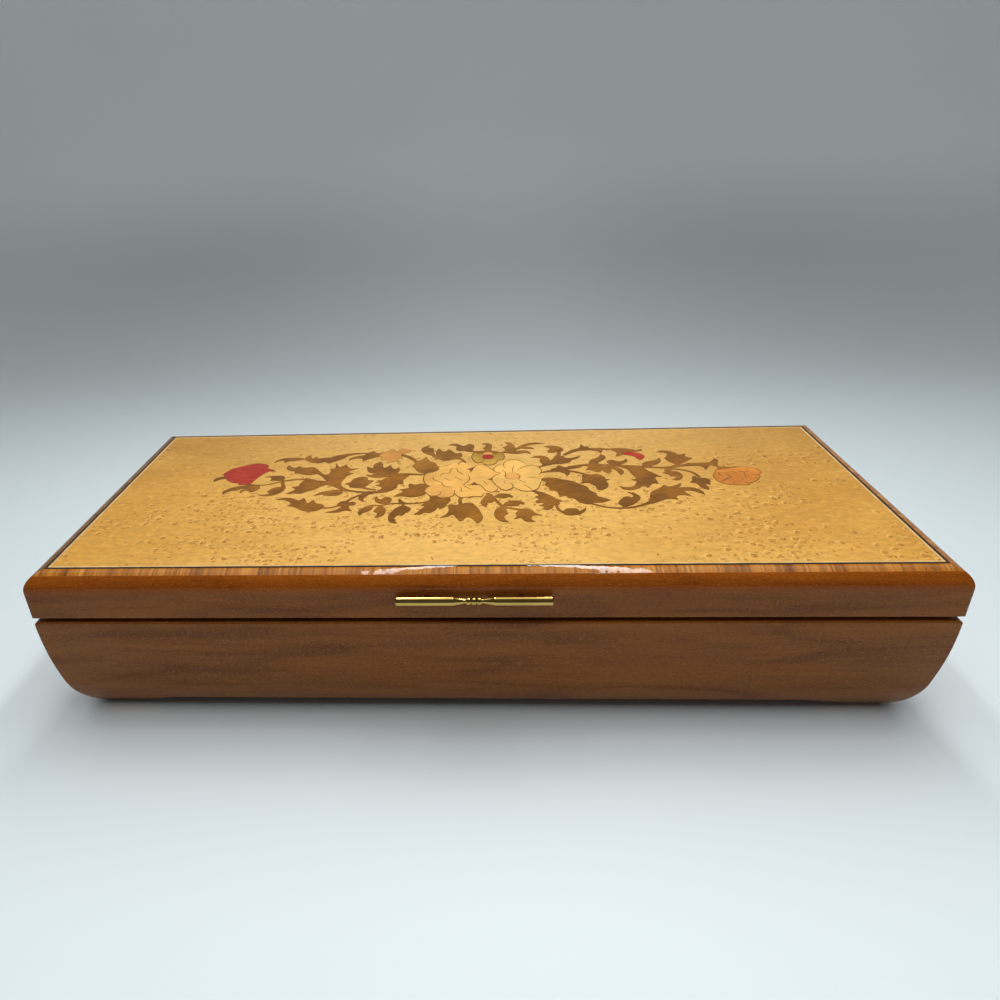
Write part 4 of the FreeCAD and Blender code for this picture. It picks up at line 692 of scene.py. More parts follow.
# %% Cut the left leaves
left_leaves = [
    leaf(tip(-109.4, 7.8), (-109.9, 9.8), (-108.4, 11.8), (-106, 12.7), tip(-104.4, 10.6), (-107.2, 10.1)),
    leaf((-93.6, 3.6), (-98, 2.8), (-101, 0.8), (-102.5, -1.6), tip(-102.1, -4), (-100.5, -1.7),
         (-98, -0.6), (-95.6, 0.8), (-93.8, 1.2)),
    leaf((-94.8, 5), (-92, 4.6), (-89.4, 3.6), (-88.7, 1.2), (-89.4, -1), (-91.2, -2.4), (-92.6, -1),
         (-94, -1), tip(-95.5, -3), (-95.4, -0.7), (-93.8, 1), (-94.3, 3)),
    leaf(tip(-89, 11.5), (-86.4, 12.6), (-83.2, 12.7), (-81, 11.8), (-80.4, 9.4), (-81.6, 8), (-84, 8.1),
         tip(-86, 8), (-85.8, 10.2), (-86.6, 11.3)),
    leaf(tip(-84.4, -2), (-83.4, 0.2), (-81.4, 1.8), (-79.4, 1.4), (-79.6, -2), (-81.6, -4),
         tip(-83.4, -3.6)),
    leaf(tip(-88.8, 26.2), (-88.2, 28.5), (-86, 30.5), (-83, 31.3), (-79.6, 31.3), (-76.4, 30.2),
         tip(-74.2, 29.2), (-77.8, 28.9), (-80.4, 27.8), (-83, 27.6), tip(-84.2, 25.9), (-84.7, 28),
         (-86.8, 28.5)),
    leaf((-75.8, 29.6), (-75.9, 31.6), tip(-74.4, 33.8), (-73.7, 31.2), (-72.6, 30.4), tip(-71.4, 32.2),
         (-70.6, 30.2), (-68, 30.5), (-65, 31), (-62.6, 33), (-59, 34.4), (-55, 35.5), tip(-49, 35.4),
         (-54, 34.1), (-57.4, 32.4), (-59.4, 29.8), (-61.8, 27.2), tip(-64.7, 24.8), (-66.6, 26.2),
         (-69.2, 25.3), (-72, 25.8), (-74.4, 27.6)),
    leaf(tip(-81.7, 23.2), (-80.2, 21.5), (-78.6, 20.5), tip(-76.8, 22.2), (-75.6, 20.7), (-73.8, 20.4),
         (-71.2, 21), (-69, 19.4), (-67.4, 16.8), tip(-65.8, 14), (-68.4, 13.9), (-70.4, 13.1),
         (-73.2, 13.7), (-75.6, 14.7), tip(-77.5, 14.8), (-77.4, 16.6), (-79.8, 17.8), (-81.8, 20)),
    leaf((-72.6, 5.2), (-71.4, 7.6), (-69.2, 8.6), (-66, 7.6), (-62, 6.4), (-59.6, 4.2), (-62.2, 3),
         (-64.2, 1.4), (-66, -0.8), (-68.6, -2.6), (-70.8, -4.2), (-73.4, -3.9), tip(-76.4, -4.4),
         (-74.4, -2), (-73.6, 0), tip(-75.4, 1.5), (-72.8, 2.8)),
    leaf(tip(-65, -6.5), (-63, -3.9), (-60, -2.3), (-57, -1.5), (-54.4, -2), (-54.1, -4.2), (-55.4, -6.1),
         (-58, -6.5), tip(-60.4, -6.3), (-61.4, -5.3), (-63, -5.6)),
    leaf(tip(-79, -9.5), (-76.6, -8), (-73.8, -8.2), (-71.4, -9.6), (-69.9, -10.4), tip(-68.4, -8.4),
         (-67.3, -10.5), (-66, -12.6), tip(-64.3, -10), (-62.8, -12.8), (-60.2, -14), (-59.3, -16.2),
         (-61, -18.8), (-63.6, -19.6), (-66.2, -19.1), (-68.2, -17.7), (-70.6, -15.7), tip(-73.5, -14.8),
         (-72.4, -13.1), (-73.8, -11), (-76.2, -9.7)),
    leaf(tip(-61.7, 24.3), (-60.2, 22), (-59.2, 20.4), tip(-56.9, 23), (-55.6, 20.4), (-54, 18.9),
         tip(-51, 19), (-53.6, 17.1), (-54.7, 15.4), tip(-52.4, 14.3), (-54.6, 11.8), (-55.5, 9),
         (-56.1, 6), (-56, 3), (-55, 0.4), (-57, 0.8), (-58.6, 3.4), (-61, 5), (-62.2, 7), (-64, 10),
         tip(-64.9, 13.3), (-62.9, 13.4), (-62.2, 16), tip(-63, 19.3), (-61.3, 19.2), (-60.9, 21.8)),
    leaf(tip(-56.5, 27.3), (-56, 30), (-53.6, 32), (-50.2, 33.2), (-49.4, 35.4), tip(-46.8, 37.4),
         (-45.6, 35.2), (-44.2, 33.6), (-43.8, 31.4), (-45.8, 30.1), (-48, 28.6), tip(-50.3, 26.5),
         (-50.7, 29), (-52.6, 29.6), (-55, 29.1)),
    leaf(tip(-42.4, 25.4), (-41.2, 22.4), (-40.2, 19.4), tip(-37.8, 21.8), (-36.8, 19), (-35.4, 17.8),
         tip(-34, 19.4), (-33.4, 16.6), (-34, 13.4), (-33.6, 10.8), (-36.6, 10.6), (-39, 10.2),
         (-41.4, 9.5), (-44, 10), tip(-46.9, 12.1), (-44.2, 12.5), (-43.8, 13.6), (-46, 15.1),
         (-46.9, 17.4), tip(-47.6, 20.7), (-45.8, 19.3), (-44.7, 19.1), (-44.9, 21.6), (-44.1, 24)),
    leaf((-33.6, 13.2), (-30.4, 13.2), (-29, 11.4), (-31, 7.6), (-30.9, 5), tip(-30.8, 3), (-32.9, 2.9),
         (-33, 0.2), (-34.8, -2.6), (-37.6, -4.2), (-41, -4.8), (-43.8, -4.4), (-40.8, -2.9), (-38.9, -1),
         (-39, 0.6), tip(-41.7, 2.2), (-40, 3.4), (-40.2, 5), tip(-41.5, 7), (-39.7, 7.2), (-38.2, 9.2),
         (-35.6, 10.9)),
    leaf((-50.6, 9.4), (-48.2, 10.5), (-46, 9.6), (-45.6, 7.4), tip(-43.2, 7.1), (-43.9, 4.6),
         (-45.4, 2.6), (-45.8, 1), (-43.6, -0.6), tip(-40.6, -1.7), (-43.6, -1.7), (-46, -0.6),
         (-48.4, 0.3), (-51, 0.7), (-52.4, 2.6), tip(-54, 4.6), (-52, 5.5), (-51.8, 7.6)),
    leaf(tip(-28, 3.4), (-25.6, 2.4), (-23.2, 3.2), (-21, 2.2), (-20.6, 0.2), (-21.4, -1.6), (-20.8, -4),
         (-21.6, -6.6), (-24, -8.2), (-27, -8.5), (-29.8, -7.5), tip(-33.3, -8.1), (-31.7, -5.6),
         (-30, -4), tip(-31.4, -1.6), (-29, -1), (-27.8, -0.2), (-28.4, 1.6)),
    leaf((-53.9, -13), (-52, -11.2), (-50.4, -12.5), (-48.4, -12.1), (-47.3, -13.6), (-48.2, -15),
         (-49.6, -15.2), (-49.2, -17.4), tip(-47.8, -19.6), (-50.6, -19.2), (-52.4, -20.2), (-55, -20.8),
         tip(-57.6, -20.5), (-55, -19.4), (-53, -17.8), (-52.3, -15.9), tip(-54.2, -14.9)),
    leaf((-45.8, -5.2), (-46.8, -7.8), (-46.4, -10.2), tip(-44.6, -12.2), (-44.9, -9.2), (-44, -7),
         (-43.2, -5.2)),
    leaf(tip(-39.9, -7.7), (-40.2, -10.6), (-38.9, -13), (-36.6, -13.9), (-34.6, -13), (-33.9, -10.8),
         (-34.7, -8.8), (-36.4, -8.4), tip(-37.8, -10.4), (-39, -10)),
    leaf((-40.8, -15.2), (-43, -16.4), (-44.8, -18.4), (-45.2, -20.6), tip(-44.4, -23.1), (-43.2, -21.1),
         (-41.2, -19.6), (-40.5, -17.5)),
    leaf((-37.6, -15.9), (-38.8, -17.6), tip(-39.6, -20.3), (-38.2, -21.2), (-37.9, -22.8),
         tip(-38.6, -25), (-36.4, -24.2), (-35.2, -21.6), (-35.5, -18.6), (-36.6, -16.3)),
    leaf((-29.2, -15.7), (-27, -16.9), (-25.9, -18.8), (-27.4, -21.2), (-28.6, -23.6), (-30.2, -23.4),
         (-31.2, -25.4), (-30.9, -27.6), tip(-29.9, -29.6), (-31.8, -29.2), (-33.2, -27), (-33.4, -23.5),
         (-32.4, -19.8), (-30.8, -17)),
    leaf(tip(-30.8, -10), (-31, -12.2), (-29.8, -14), (-27.4, -14.2), (-29.4, -12.4)),
]
let_in("inlay_leaves_left", leaf_brown, 0.03, left_leaves, rim=0.16)

# %% Cut the red bud and the small orange flower
bud = leaf(
    (-96, 25.6), (-92.4, 24.7), (-90.3, 22.6), (-90.3, 20.6), tip(-86.4, 18.4), (-89.2, 16.8),
    (-90.6, 14.4), (-92.2, 10.4), (-93, 6.6), tip(-93.6, 4.4), (-96, 4.6), tip(-97.8, 4.2), (-98.6, 5.9),
    (-101.2, 6.6), (-104, 9), (-106.2, 12.4), (-107.5, 15.2), (-106.6, 18), (-105.4, 20.4),
    (-102.2, 22.6), (-99.2, 24.4),
)
let_in("inlay_bud", petal_red, 0.04, [bud], rim=0.14)
small_flower = leaf(
    tip(-43.6, 36.4), (-41.2, 36.6), (-39, 39.2), (-37.4, 37.6), tip(-36.6, 35.6), (-34.8, 39.3),
    (-32.6, 38.9), tip(-30, 37), (-32, 35.3), (-34, 33.8), (-34.2, 31.4), tip(-33.4, 29.4), (-36, 28.2),
    tip(-33.9, 25.6), (-36.8, 25.8), tip(-39.6, 23.8), (-39.6, 27.2), tip(-42.6, 27.4), (-42.4, 30.2),
    (-43.9, 32.8), (-42.6, 34.4),
)
let_in("inlay_small_flower", petal_pale_orange, 0.04, [small_flower], rim=0.16)

# %% [markdown]
# ## Right side: scrolls, a small red bud and the orange flower
# The right half mirrors the left in spirit, not in detail. A long stem runs out to a ruffled orange flower,
# with a second, hanging stem below that ends in a broad leaf.

# %% Cut the right stems
right_stems = [
    stem((24.6, 12.2, 0.5), (28, 13.4, 1.6), (32, 14, 2.4), (36.4, 13.4, 1.5), (40, 11.6, 1.3),
         (43.4, 8.8, 1.4)),
    stem((36, 17.6, 0.8), (41, 18.8, 1.3), (46, 19.4, 1.6), (51, 19, 1.3), (56, 18.4, 1.6),
         (61, 17.2, 1.9), (66, 16.6, 1.6), (72, 15.6, 1.3), (77, 15.8, 1.5), (82, 17.2, 1.8),
         (88, 18.3, 2)),
    stem((53, 18.6, 0.9), (57.4, 17.2, 1.3), (60.4, 14.4, 1.6), (61.6, 10.6, 2.4)),
    stem((71, 15.8, 1), (76.6, 14.4, 1.2), (81.6, 12.8, 1.1), (84.8, 10, 1.1), (86.2, 6, 1.2)),
    stem((81.4, 19.4, 1.6), (79.8, 17.6, 1.2), (76.6, 15.8, 1)),
    stem((75.4, 14.6, 1), (76.2, 12.4, 1.6)),
    stem((38.6, -13.6, 1.6), (41.6, -16, 1.2), (46, -18.6, 1), (51, -19.6, 1.1), (56, -19, 1.2),
         (60.6, -16.8, 1.4), (64, -14.4, 2.2)),
    stem((52.8, -19.2, 1.6), (53.4, -16.8, 2.2)),
    stem((35.6, 29.6, 1.3), (38.4, 32.6, 2), (42, 35.2, 2.6), (47, 35.8, 2.4), (52, 35.8, 1.6),
         (57.4, 35.2, 1.2)),
    stem((18.4, -2.2, 0.5), (20.6, -4.6, 1.2), (23.6, -6.8, 2)),
    stem((28.6, -12, 1.2), (28.3, -16, 1), (28.6, -19.6, 1), (30, -22.2, 1), (31.6, -23.4, 1.2)),
    stem((33.9, 34.6, 1.4), (33.6, 31, 1.6), (32.4, 27, 2.2), (30.6, 23, 3)),
]
let_in("inlay_stems_right", leaf_brown, 0.02, right_stems, rim=0.1)

# %% Cut the right leaves
right_leaves = [
    leaf(tip(21.6, 27.6), (24, 29.2), (26.8, 29), (28.8, 26.8), (29.6, 24), (31.4, 22.6), (30.4, 20.6),
         (27, 18.8), (24.9, 17.8), tip(24.1, 15.6), (24.3, 17.8), (26, 19.8), (25.5, 22), (25, 24.4),
         (25.5, 26.7), (23.6, 27.5)),
    leaf(tip(28, 39.4), (30.6, 40.3), (33.8, 39.2), (35.8, 36.8), (35.2, 34), (33.6, 34.6), (32.2, 32.8),
         (29.6, 32.6), tip(29.2, 34.6), (30.3, 37), (29.4, 38.4)),
    leaf((30.4, 24.6), (32.6, 26.6), (34.8, 28.8), (36, 26.8), (38.6, 26.6), tip(42.6, 28.8), (41, 26.2),
         (38.2, 24.2), (37.2, 22.2), (34.2, 20.8), (31, 20.4), tip(27.6, 20), (29, 22.6)),
    leaf((41.8, 35.2), (43, 37.2), tip(44.4, 41.4), (45.2, 38.8), tip(46.9, 38.8), (47, 36.2), (46, 34.4)),
    leaf((49.2, 36.4), (53.6, 36.4), (52.6, 34.6), tip(51.5, 31), (50.4, 33.4), (48.2, 34.4)),
    leaf((56.2, 35.8), (59, 36.5), (62, 36), (65, 34.7), (67, 34), tip(69.2, 35), (68.6, 33.1),
         (65.2, 32.4), (63.4, 31.2), (60.6, 29.8), (59.2, 28.4), tip(57.2, 27.7), (57.9, 29.8),
         (58.3, 31.4), (57.4, 33.2)),
    leaf((52.7, 22.4), (55, 23.8), (57, 22.4), (59.2, 22.5), tip(61, 24.9), (60.8, 22), (59, 20.2),
         (57, 19.2), (54.2, 18.6), (53.2, 20.2)),
    leaf(tip(51.2, 30), (52.6, 28), (52.3, 25.6), (50.6, 23.4), (48.8, 21.2), (48.4, 19.2), (45.4, 19.2),
         (45.6, 22.6), (47, 24.8), (49.6, 26.6), (50.6, 28.4)),
    leaf((43.4, 19.6), (46.4, 20.2), (49.6, 19.2), (49.7, 16), (48.6, 12.8), (46.8, 12.3), (45.2, 13.9),
         tip(43, 14.6), (44.3, 16.8)),
    leaf((50.4, 17.6), (52.6, 15.6), (53, 12.8), tip(51.4, 10.8), (50, 12.8), (49.8, 15.4)),
    leaf((52.2, 18.6), (55, 17), (57.2, 14.6), (57.7, 11.6), tip(56.1, 8.8), (55.6, 11.4), (54.8, 13.8),
         (52.6, 16.2)),
    leaf((59.6, 16.6), (62.6, 17.4), (66, 16.4), (67, 13.4), (69, 10.4), tip(71.6, 6.6), (69.3, 6.9),
         (68.8, 4), tip(69.2, 0.6), (67.2, 0.8), (65.8, -0.8), tip(64.4, -3), (63, -1.4), (60.6, -3.6),
         (57.6, -4.7), (55.2, -4), tip(53.8, -1.3), (56.4, -2.4), (59.2, -1.6), (60.6, 0.6), (61.2, 2.8),
         tip(59.4, 4.4), (61.6, 5.4), (60.8, 9), (60.9, 13)),
    leaf((66.8, 16.6), (66.7, 19.6), (68.8, 21.6), (70.8, 22.2), (72.8, 23.2), tip(74.7, 25.2),
         (74.5, 22), (73, 19.7), (70.6, 17.8), (68.6, 16.4)),
    leaf(tip(74.8, 31.4), (77.4, 32.9), (80.4, 32.2), (82.2, 30.4), (83.2, 28.2), tip(86.1, 29.3),
         (85.6, 26.4), tip(88, 24.6), (85.6, 22.3), (83.6, 20.3), (81.4, 18.8), (79.2, 19.5), (77.6, 22),
         tip(76.8, 24.8), (78, 26.8), (78.8, 29.4), (77.4, 30.9)),
    leaf((84, 19), (88, 19.5), (91.6, 19.5), (94, 20.2), (95.4, 21.8), tip(96.9, 24), (97.6, 22),
         (96.7, 19.6), (96.3, 17.6), tip(95.6, 15.4), (93.6, 17.4), (92, 15.6), tip(90.4, 12.7),
         (90, 15.6), (88, 17), (84, 16.7)),
    leaf(tip(84.4, 7.1), (85.2, 5.4), (88, 4.9), (89.4, 3), (88.7, 1), tip(88.5, -0.9), (86.6, -0.6),
         (87, -3), tip(86.7, -5.3), (84.9, -4.1), (84.1, -1.6), (83.6, 0.3), tip(81.3, 1.2), (82.9, 3.4),
         (83.2, 5.6)),
    leaf((74.4, 13.4), (76, 12), (78.6, 11.4), (79.8, 8.8), (79.3, 5.6), (77.4, 3.6), tip(75.2, 3.8),
         (77, 5.5), (77.1, 7), (75.4, 7.2), (74.9, 9), tip(72.8, 10.2), (74.2, 11.2)),
    leaf((61.8, -16.2), (63.2, -13), (64, -9.4), (65.2, -6.6), (68, -4), (69.8, -2.4), tip(71, -0.7),
         (72.3, -2.2), (75, -1.4), tip(77.5, 0.7), (77, -1.6), (75.6, -2.9), (79, -3), (82, -4),
         (83.8, -6.4), tip(84.1, -9.4), (82.2, -7.4), (80, -5.9), (77.2, -6.2), (77.7, -8),
         tip(78.8, -10.4), (76, -9.5), (73.4, -10.4), tip(73.3, -13.5), (71, -12.4), (69, -12.9),
         (66, -14.7), (63.8, -16)),
    leaf(tip(56, -6.4), (58.4, -7.8), (59.8, -10.4), (59.3, -13), (57.4, -15.5), (55.4, -17.5),
         (52.8, -18.2), tip(51, -16), (52.4, -13), (54.2, -10.8), (55.6, -10.3), (56.8, -11.2),
         (57.7, -10), (57.3, -8.3)),
    leaf(tip(23.2, 5.8), (27, 7.2), (30.6, 6.6), (33, 5.2), (36, 3.8), (39, 0.8), (41.4, -1.8),
         (41.9, -4.4), (44, -7.4), (44.2, -9.6), (46.6, -11.4), tip(48.6, -13), (45.6, -14.8),
         (42, -15.1), (39.8, -16.2), (37, -14.2), (35.4, -11.4), (33.4, -10.9), (32.4, -8.9),
         tip(30.2, -10), (30, -7.6), (29.2, -4.8), tip(26.9, -4), (26.8, -1.4), (25.5, 0.6), (26.2, 3),
         (24.8, 4.6)),
    leaf(tip(32.6, 19.1), (31, 16.8), (29.2, 15), (33, 14.4), (37, 15.4), (40, 16.4), tip(42.2, 18),
         (38, 17.5), (34.8, 17.2)),
    leaf((32.6, 13), (34, 11.4), tip(34.8, 8.7), (36, 11), (36, 13.2)),
    leaf((41.6, 9.6), (43.6, 9), (45.6, 9.9), (47.8, 9.3), (49.2, 7.4), (49.5, 5.5), tip(51.1, 4.8),
         (49.4, 3.6), (49.9, 1.2), (49, -2.2), (46.6, -4.5), (45.2, -4), (44.9, -1), (43.5, 1), (42.4, 2),
         tip(39.2, 1.5), (40.4, 3.6), (40.6, 6), (40.8, 8.4)),
    leaf((20.6, -4.6), (24.6, -6.8), (27.2, -9.4), (28.8, -11.6), tip(31.2, -13.6), (29.4, -14),
         (29.4, -16), (27.4, -16.8), (26.6, -18.8), (25, -20.2), tip(22.8, -19.6), (23.9, -18),
         tip(21.9, -17), (23.8, -15.6), (23.4, -14.6), (21.4, -14.7), (21, -13.2), (22.3, -12),
         tip(21, -9.4), (22.4, -8.4), (21.6, -6.4)),
    leaf((30.2, -22.4), (31.4, -20.2), (33.6, -19.5), (35.4, -20), (36.2, -21.5), (37.6, -20.6),
         tip(38.7, -19), (38.1, -21.6), (36, -23.9), (33.4, -24.8), (31, -24.3)),
]
let_in("inlay_leaves_right", leaf_brown, 0.03, right_leaves, rim=0.16)

# %% Cut the small red bud and the orange flower
small_bud = leaf(
    (63.8, 32), (65.6, 31.4), (67.7, 30), (68.9, 27.6), (68.3, 25.4), tip(66.6, 23.3), (65.5, 25),
    (65, 27), (63.2, 28.2), (60.2, 30), (61.4, 31.2),
)
let_in("inlay_small_bud", petal_red, 0.04, [small_bud], rim=0.16)
ruffled = leaf(
    (91.8, 7.2), (92.6, 9.1), (93.7, 10.7), (95, 12.5), (96.8, 13.1), (98.7, 13.7), (101, 14.6),
    (103.6, 15.1), (106.3, 14.9), (108, 14.2), (109.9, 13), (111, 11.3), (111.1, 9.9), tip(110.3, 8.5),
    (109.2, 7.6), (109.4, 6.5), (109.1, 5.3), (108.2, 4.1), (107, 2.5), (105.2, 1), (103.9, 0.2),
    tip(103.1, -1), (101.9, -1.6), (99.9, -1.6), tip(97.6, -1.2), (95.9, -1.3), (94.7, -0.6), (93.6, 0.2),
    (92.7, 1.3), (92, 2.6), (91.8, 4.7), (91.6, 6.1),
)
let_in("inlay_orange_flower", petal_orange, 0.04, [ruffled], rim=0.2)
cup = leaf(
    tip(95.7, 16.4), (96.6, 15.7), (98.4, 15.7), (100.1, 15.2), (101.8, 15.5), (103.8, 15.7),
    tip(104.5, 15.4), (102.4, 14.4), (100.4, 13.9), (98.5, 13.4), (96.9, 12.8), (95.6, 12.5),
    (95.1, 13.2),
)
folds = [
    line(0.4, (95, 10.2), (94.4, 8.6), (94.4, 7.4), (94.6, 6.7)),
    line(0.35, (97.3, 8.5), (97.6, 7.2), (98.1, 6.2), (98.8, 5.7)),
    line(0.5, (93.5, 1.7), (95.1, 3.3), (96.5, 4.5), (97.7, 5.4), (98.8, 5.8)),
    line(0.3, (99.8, 11.8), (100.3, 10.6), (100.9, 9.5), (101.1, 8.7)),
    line(0.45, (102.4, 11.2), (103.3, 10.7), (103.8, 10), (104.3, 9.8), (105.4, 10), (106.3, 10.2)),
    line(0.4, (104.3, 9.8), (104.2, 8.1), (104, 6.4), (103.4, 4.7)),
    line(0.35, (101.7, 4.4), (102, 3.3), (102.4, 3.1)),
    line(0.4, (106.8, 8.4), (107.6, 7.6), (108.6, 7.4), (109.2, 6.7), (109.2, 5.5), (108, 4.1),
         (107.4, 4.4), (106.6, 5)),
    line(0.6, (97.8, 0.9), (97.7, -0.5)),
    line(0.45, (102.2, 1.1), (102.6, 0.2), (102.9, -0.7)),
    line(0.35, (108, 14.2), (109.4, 13.6), (110.4, 12.3), (110.9, 10.4)),
]
let_in("inlay_flower_cup", leaf_red_brown, 0.05, [cup] + folds)

# %% [markdown]
# ## The middle: two pale flowers
# Two big cream blossoms fill the middle, with leaves above and below and a small olive flower with a red
# heart behind them. Each blossom is one pale slab, and saw lines lie over it to part the petals.

# %% Cut the leaves above and below the flowers
upper_leaves = [
    leaf(tip(-23, 29.9), (-22.2, 27), (-20.8, 24.6), (-19, 23.2), (-18, 20.4), tip(-16.3, 18.6),
         (-17.6, 16), (-19.4, 14.2), tip(-21.2, 11.2), (-23, 12.9), (-25.6, 15), (-26.9, 18),
         tip(-28.5, 20.6), (-27.4, 22.6), (-27.2, 25), (-25.2, 26.7)),
    leaf(tip(-22.2, 43.6), (-24, 41.6), (-25.6, 39.6), (-25.5, 37), (-24, 34), (-21.6, 32),
         tip(-19, 30.6), (-20.1, 33.6), (-20.3, 36.2), (-21, 39.8), (-23, 40.4)),
    leaf(tip(-18.1, 39), (-16.9, 36.7), (-15.5, 35.5), tip(-13.5, 37.9), (-11.8, 35.1), (-10.6, 33.2),
         tip(-8.4, 33.8), (-7.8, 31.2), (-8.6, 28.8), (-9.6, 27.6), (-12, 26.8), (-14.5, 25.8),
         (-17, 26.8), (-19.6, 28.8), tip(-20.6, 31), (-19.1, 32.2), (-19.1, 35.4)),
    leaf(tip(-14.2, 42.7), (-12, 44.3), (-9.8, 43.7), (-8.2, 42), (-6.8, 41.8), tip(-4.8, 43.9),
         (-3, 42.4), (-2.7, 39.4), (-3.4, 36.9), tip(-1.6, 34.4), (-4.4, 35), (-6.8, 36), (-9.6, 36.5),
         (-10.5, 38.6), (-10.2, 41), (-11.7, 42.3)),
    leaf(tip(0.6, 43.4), (2.8, 44.3), (4.7, 42.8), (5.1, 40), (4.7, 36.8), (4.6, 34.6), (2.4, 34.6),
         (2.3, 36.8), (1.5, 38.6), (2.4, 40.6), (2.5, 42.5)),
    leaf(tip(11, 44.9), (13, 44.4), (14.7, 42.3), (15, 39.6), (15.7, 36.6), (15.6, 35.1), (19, 35.5),
         (21, 34.3), tip(21.7, 31.4), (19.6, 32.9), (17, 32), (14, 32.2), (11, 33), tip(6.8, 32.8),
         (10.4, 34.7), (11, 37), tip(10, 39.3), (11.6, 40.6), (12.1, 42.9)),
    leaf((15.7, 37), (17.6, 40.5), (20.4, 43), (24, 44.1), tip(28.6, 43), (24, 42.4), (20.8, 40.9),
         (18.2, 38.4)),
    leaf((18, 38.2), (20, 39.4), (22, 38.9), tip(23.5, 36.9), (21, 37.3)),
]
let_in("inlay_leaves_above", leaf_grey_brown, 0.03, upper_leaves, rim=0.16)
lower_leaves = [
    leaf(tip(-19.4, -7.8), (-17, -7.4), (-15.2, -8.2), (-14.2, -9.2), tip(-11.6, -9.4), (-11.4, -12),
         (-12.6, -15), (-13.4, -17.4), tip(-15, -19), (-15.6, -17.4), (-16.6, -19.6), (-18.6, -21.8),
         (-20.6, -21.5), (-21.6, -22.7), tip(-24.3, -22.9), (-22.6, -20.6), (-21.4, -18), (-20.7, -16.6),
         tip(-22.2, -15.6), (-20.8, -13.9), (-19.6, -12), (-18.9, -10.2)),
    leaf((-11.2, -15.6), (-8.6, -15.7), (-6.6, -15), (-5, -14), (-3, -14.6), (-1.8, -16.6), (-0.6, -19.2),
         (0.1, -22), (0.9, -25), (0.5, -28), tip(-0.9, -30.2), (-2.2, -27.4), (-4, -25.4), (-5.3, -25.7),
         (-6.1, -27.6), tip(-7.3, -28.4), (-8.5, -25.8), (-10, -23.3), (-11.8, -24.8), tip(-14.6, -25.7),
         (-12.2, -22.9), (-11.4, -20), (-11.7, -17.4)),
    stem((-6.6, -8.6, 0.9), (-7.6, -11.6, 1.1), (-7.2, -15.6, 1.2)),
    stem((1.6, -5.8, 0.5), (3.4, -6.9, 1.1), (5, -10, 1.1), (6.6, -13.6, 1), (8.6, -17.4, 1.1),
         (11.4, -18.9, 0.8), (15.2, -20, 0.9)),
    leaf((3.2, -7.2), (4.8, -8.4), (5.2, -11), (4.6, -13.7), (2.9, -14.1), tip(2.4, -17.8), (0.9, -16),
         (0.5, -13), (1.5, -10)),
    leaf(tip(5.6, -9), (7, -7.1), (9, -6.6), (11.1, -7.4), (12.3, -8.9), tip(12.4, -10.3), (11, -9.4),
         (9.4, -10.4), (7.4, -10.1)),
    leaf(tip(8.6, -16.2), (10.2, -13.7), (12.6, -12.7), (15, -13.3), (16.5, -14.8), tip(16, -15.9),
         (14.8, -15.2), (14.2, -16.7), (11, -16.9)),
    leaf((8.3, -17.2), (6.1, -19.5), (5.3, -23), (5.9, -26.5), (8, -29), tip(10.1, -29.4), (8.8, -27),
         (8.7, -25), tip(10.1, -23), (9.5, -20.2), (9.2, -18)),
    leaf((14.2, -19.8), (17, -19.6), (18.9, -20.6), (19.7, -22.6), tip(22.5, -24.7), (19.8, -24.5),
         (18.4, -25.7), (18.2, -27.4), tip(19.6, -29.4), (16.6, -29.2), (15.4, -27.4), (14.7, -26.3),
         tip(12.2, -27.4), (13.4, -25.2), (13.1, -23), (13.9, -21.4)),
]
let_in("inlay_leaves_below", leaf_red_brown, 0.03, lower_leaves, rim=0.16)

# %% Cut the olive flower with its red heart
olive_petals = [
    leaf((-2.8, 33.6), (0.6, 32.8), (1.6, 29.6), (1.6, 26.6), (0.6, 23.6), (-1.2, 22.8), (-2.6, 25),
         (-3.5, 28), (-2.8, 30.8)),
    leaf((1.2, 26.4), (3.4, 26.4), (6, 27.2), (7.4, 25.4), (6.8, 22.8), (4.6, 20.5), (2.6, 20.9),
         (0.9, 23.6)),
    leaf((5.4, 31.4), (7.8, 33.2), (9.9, 31.8), (10.1, 28.6), (9.6, 26), (7.6, 25.6), (5.8, 27.6)),
]
let_in("inlay_olive_flower", petal_olive, 0.04, olive_petals, rim=0.16)
hood = leaf(
    tip(-3.4, 35.2), (0, 35.6), (3, 36.2), (6.8, 35.2), tip(9, 33), (5.8, 32), (3.4, 33.2), (0.6, 32.4),
    (-2, 33.4),
)
let_in("inlay_olive_flower_hood", leaf_red_brown, 0.05, [hood])
blush = leaf((1.4, 32.2), (2.4, 33.7), (4.6, 33.6), (5.5, 32), (4.6, 30.6), (2.4, 30.4))
let_in("inlay_blush", flower_heart, 0.055, [blush])
heart = leaf((3.4, 31.6), (5.3, 30.8), (5.9, 28.8), (4.6, 26.7), (2.2, 26.6), (0.9, 28.4), (1.5, 30.8))
let_in("inlay_red_heart", petal_red, 0.06, [heart])

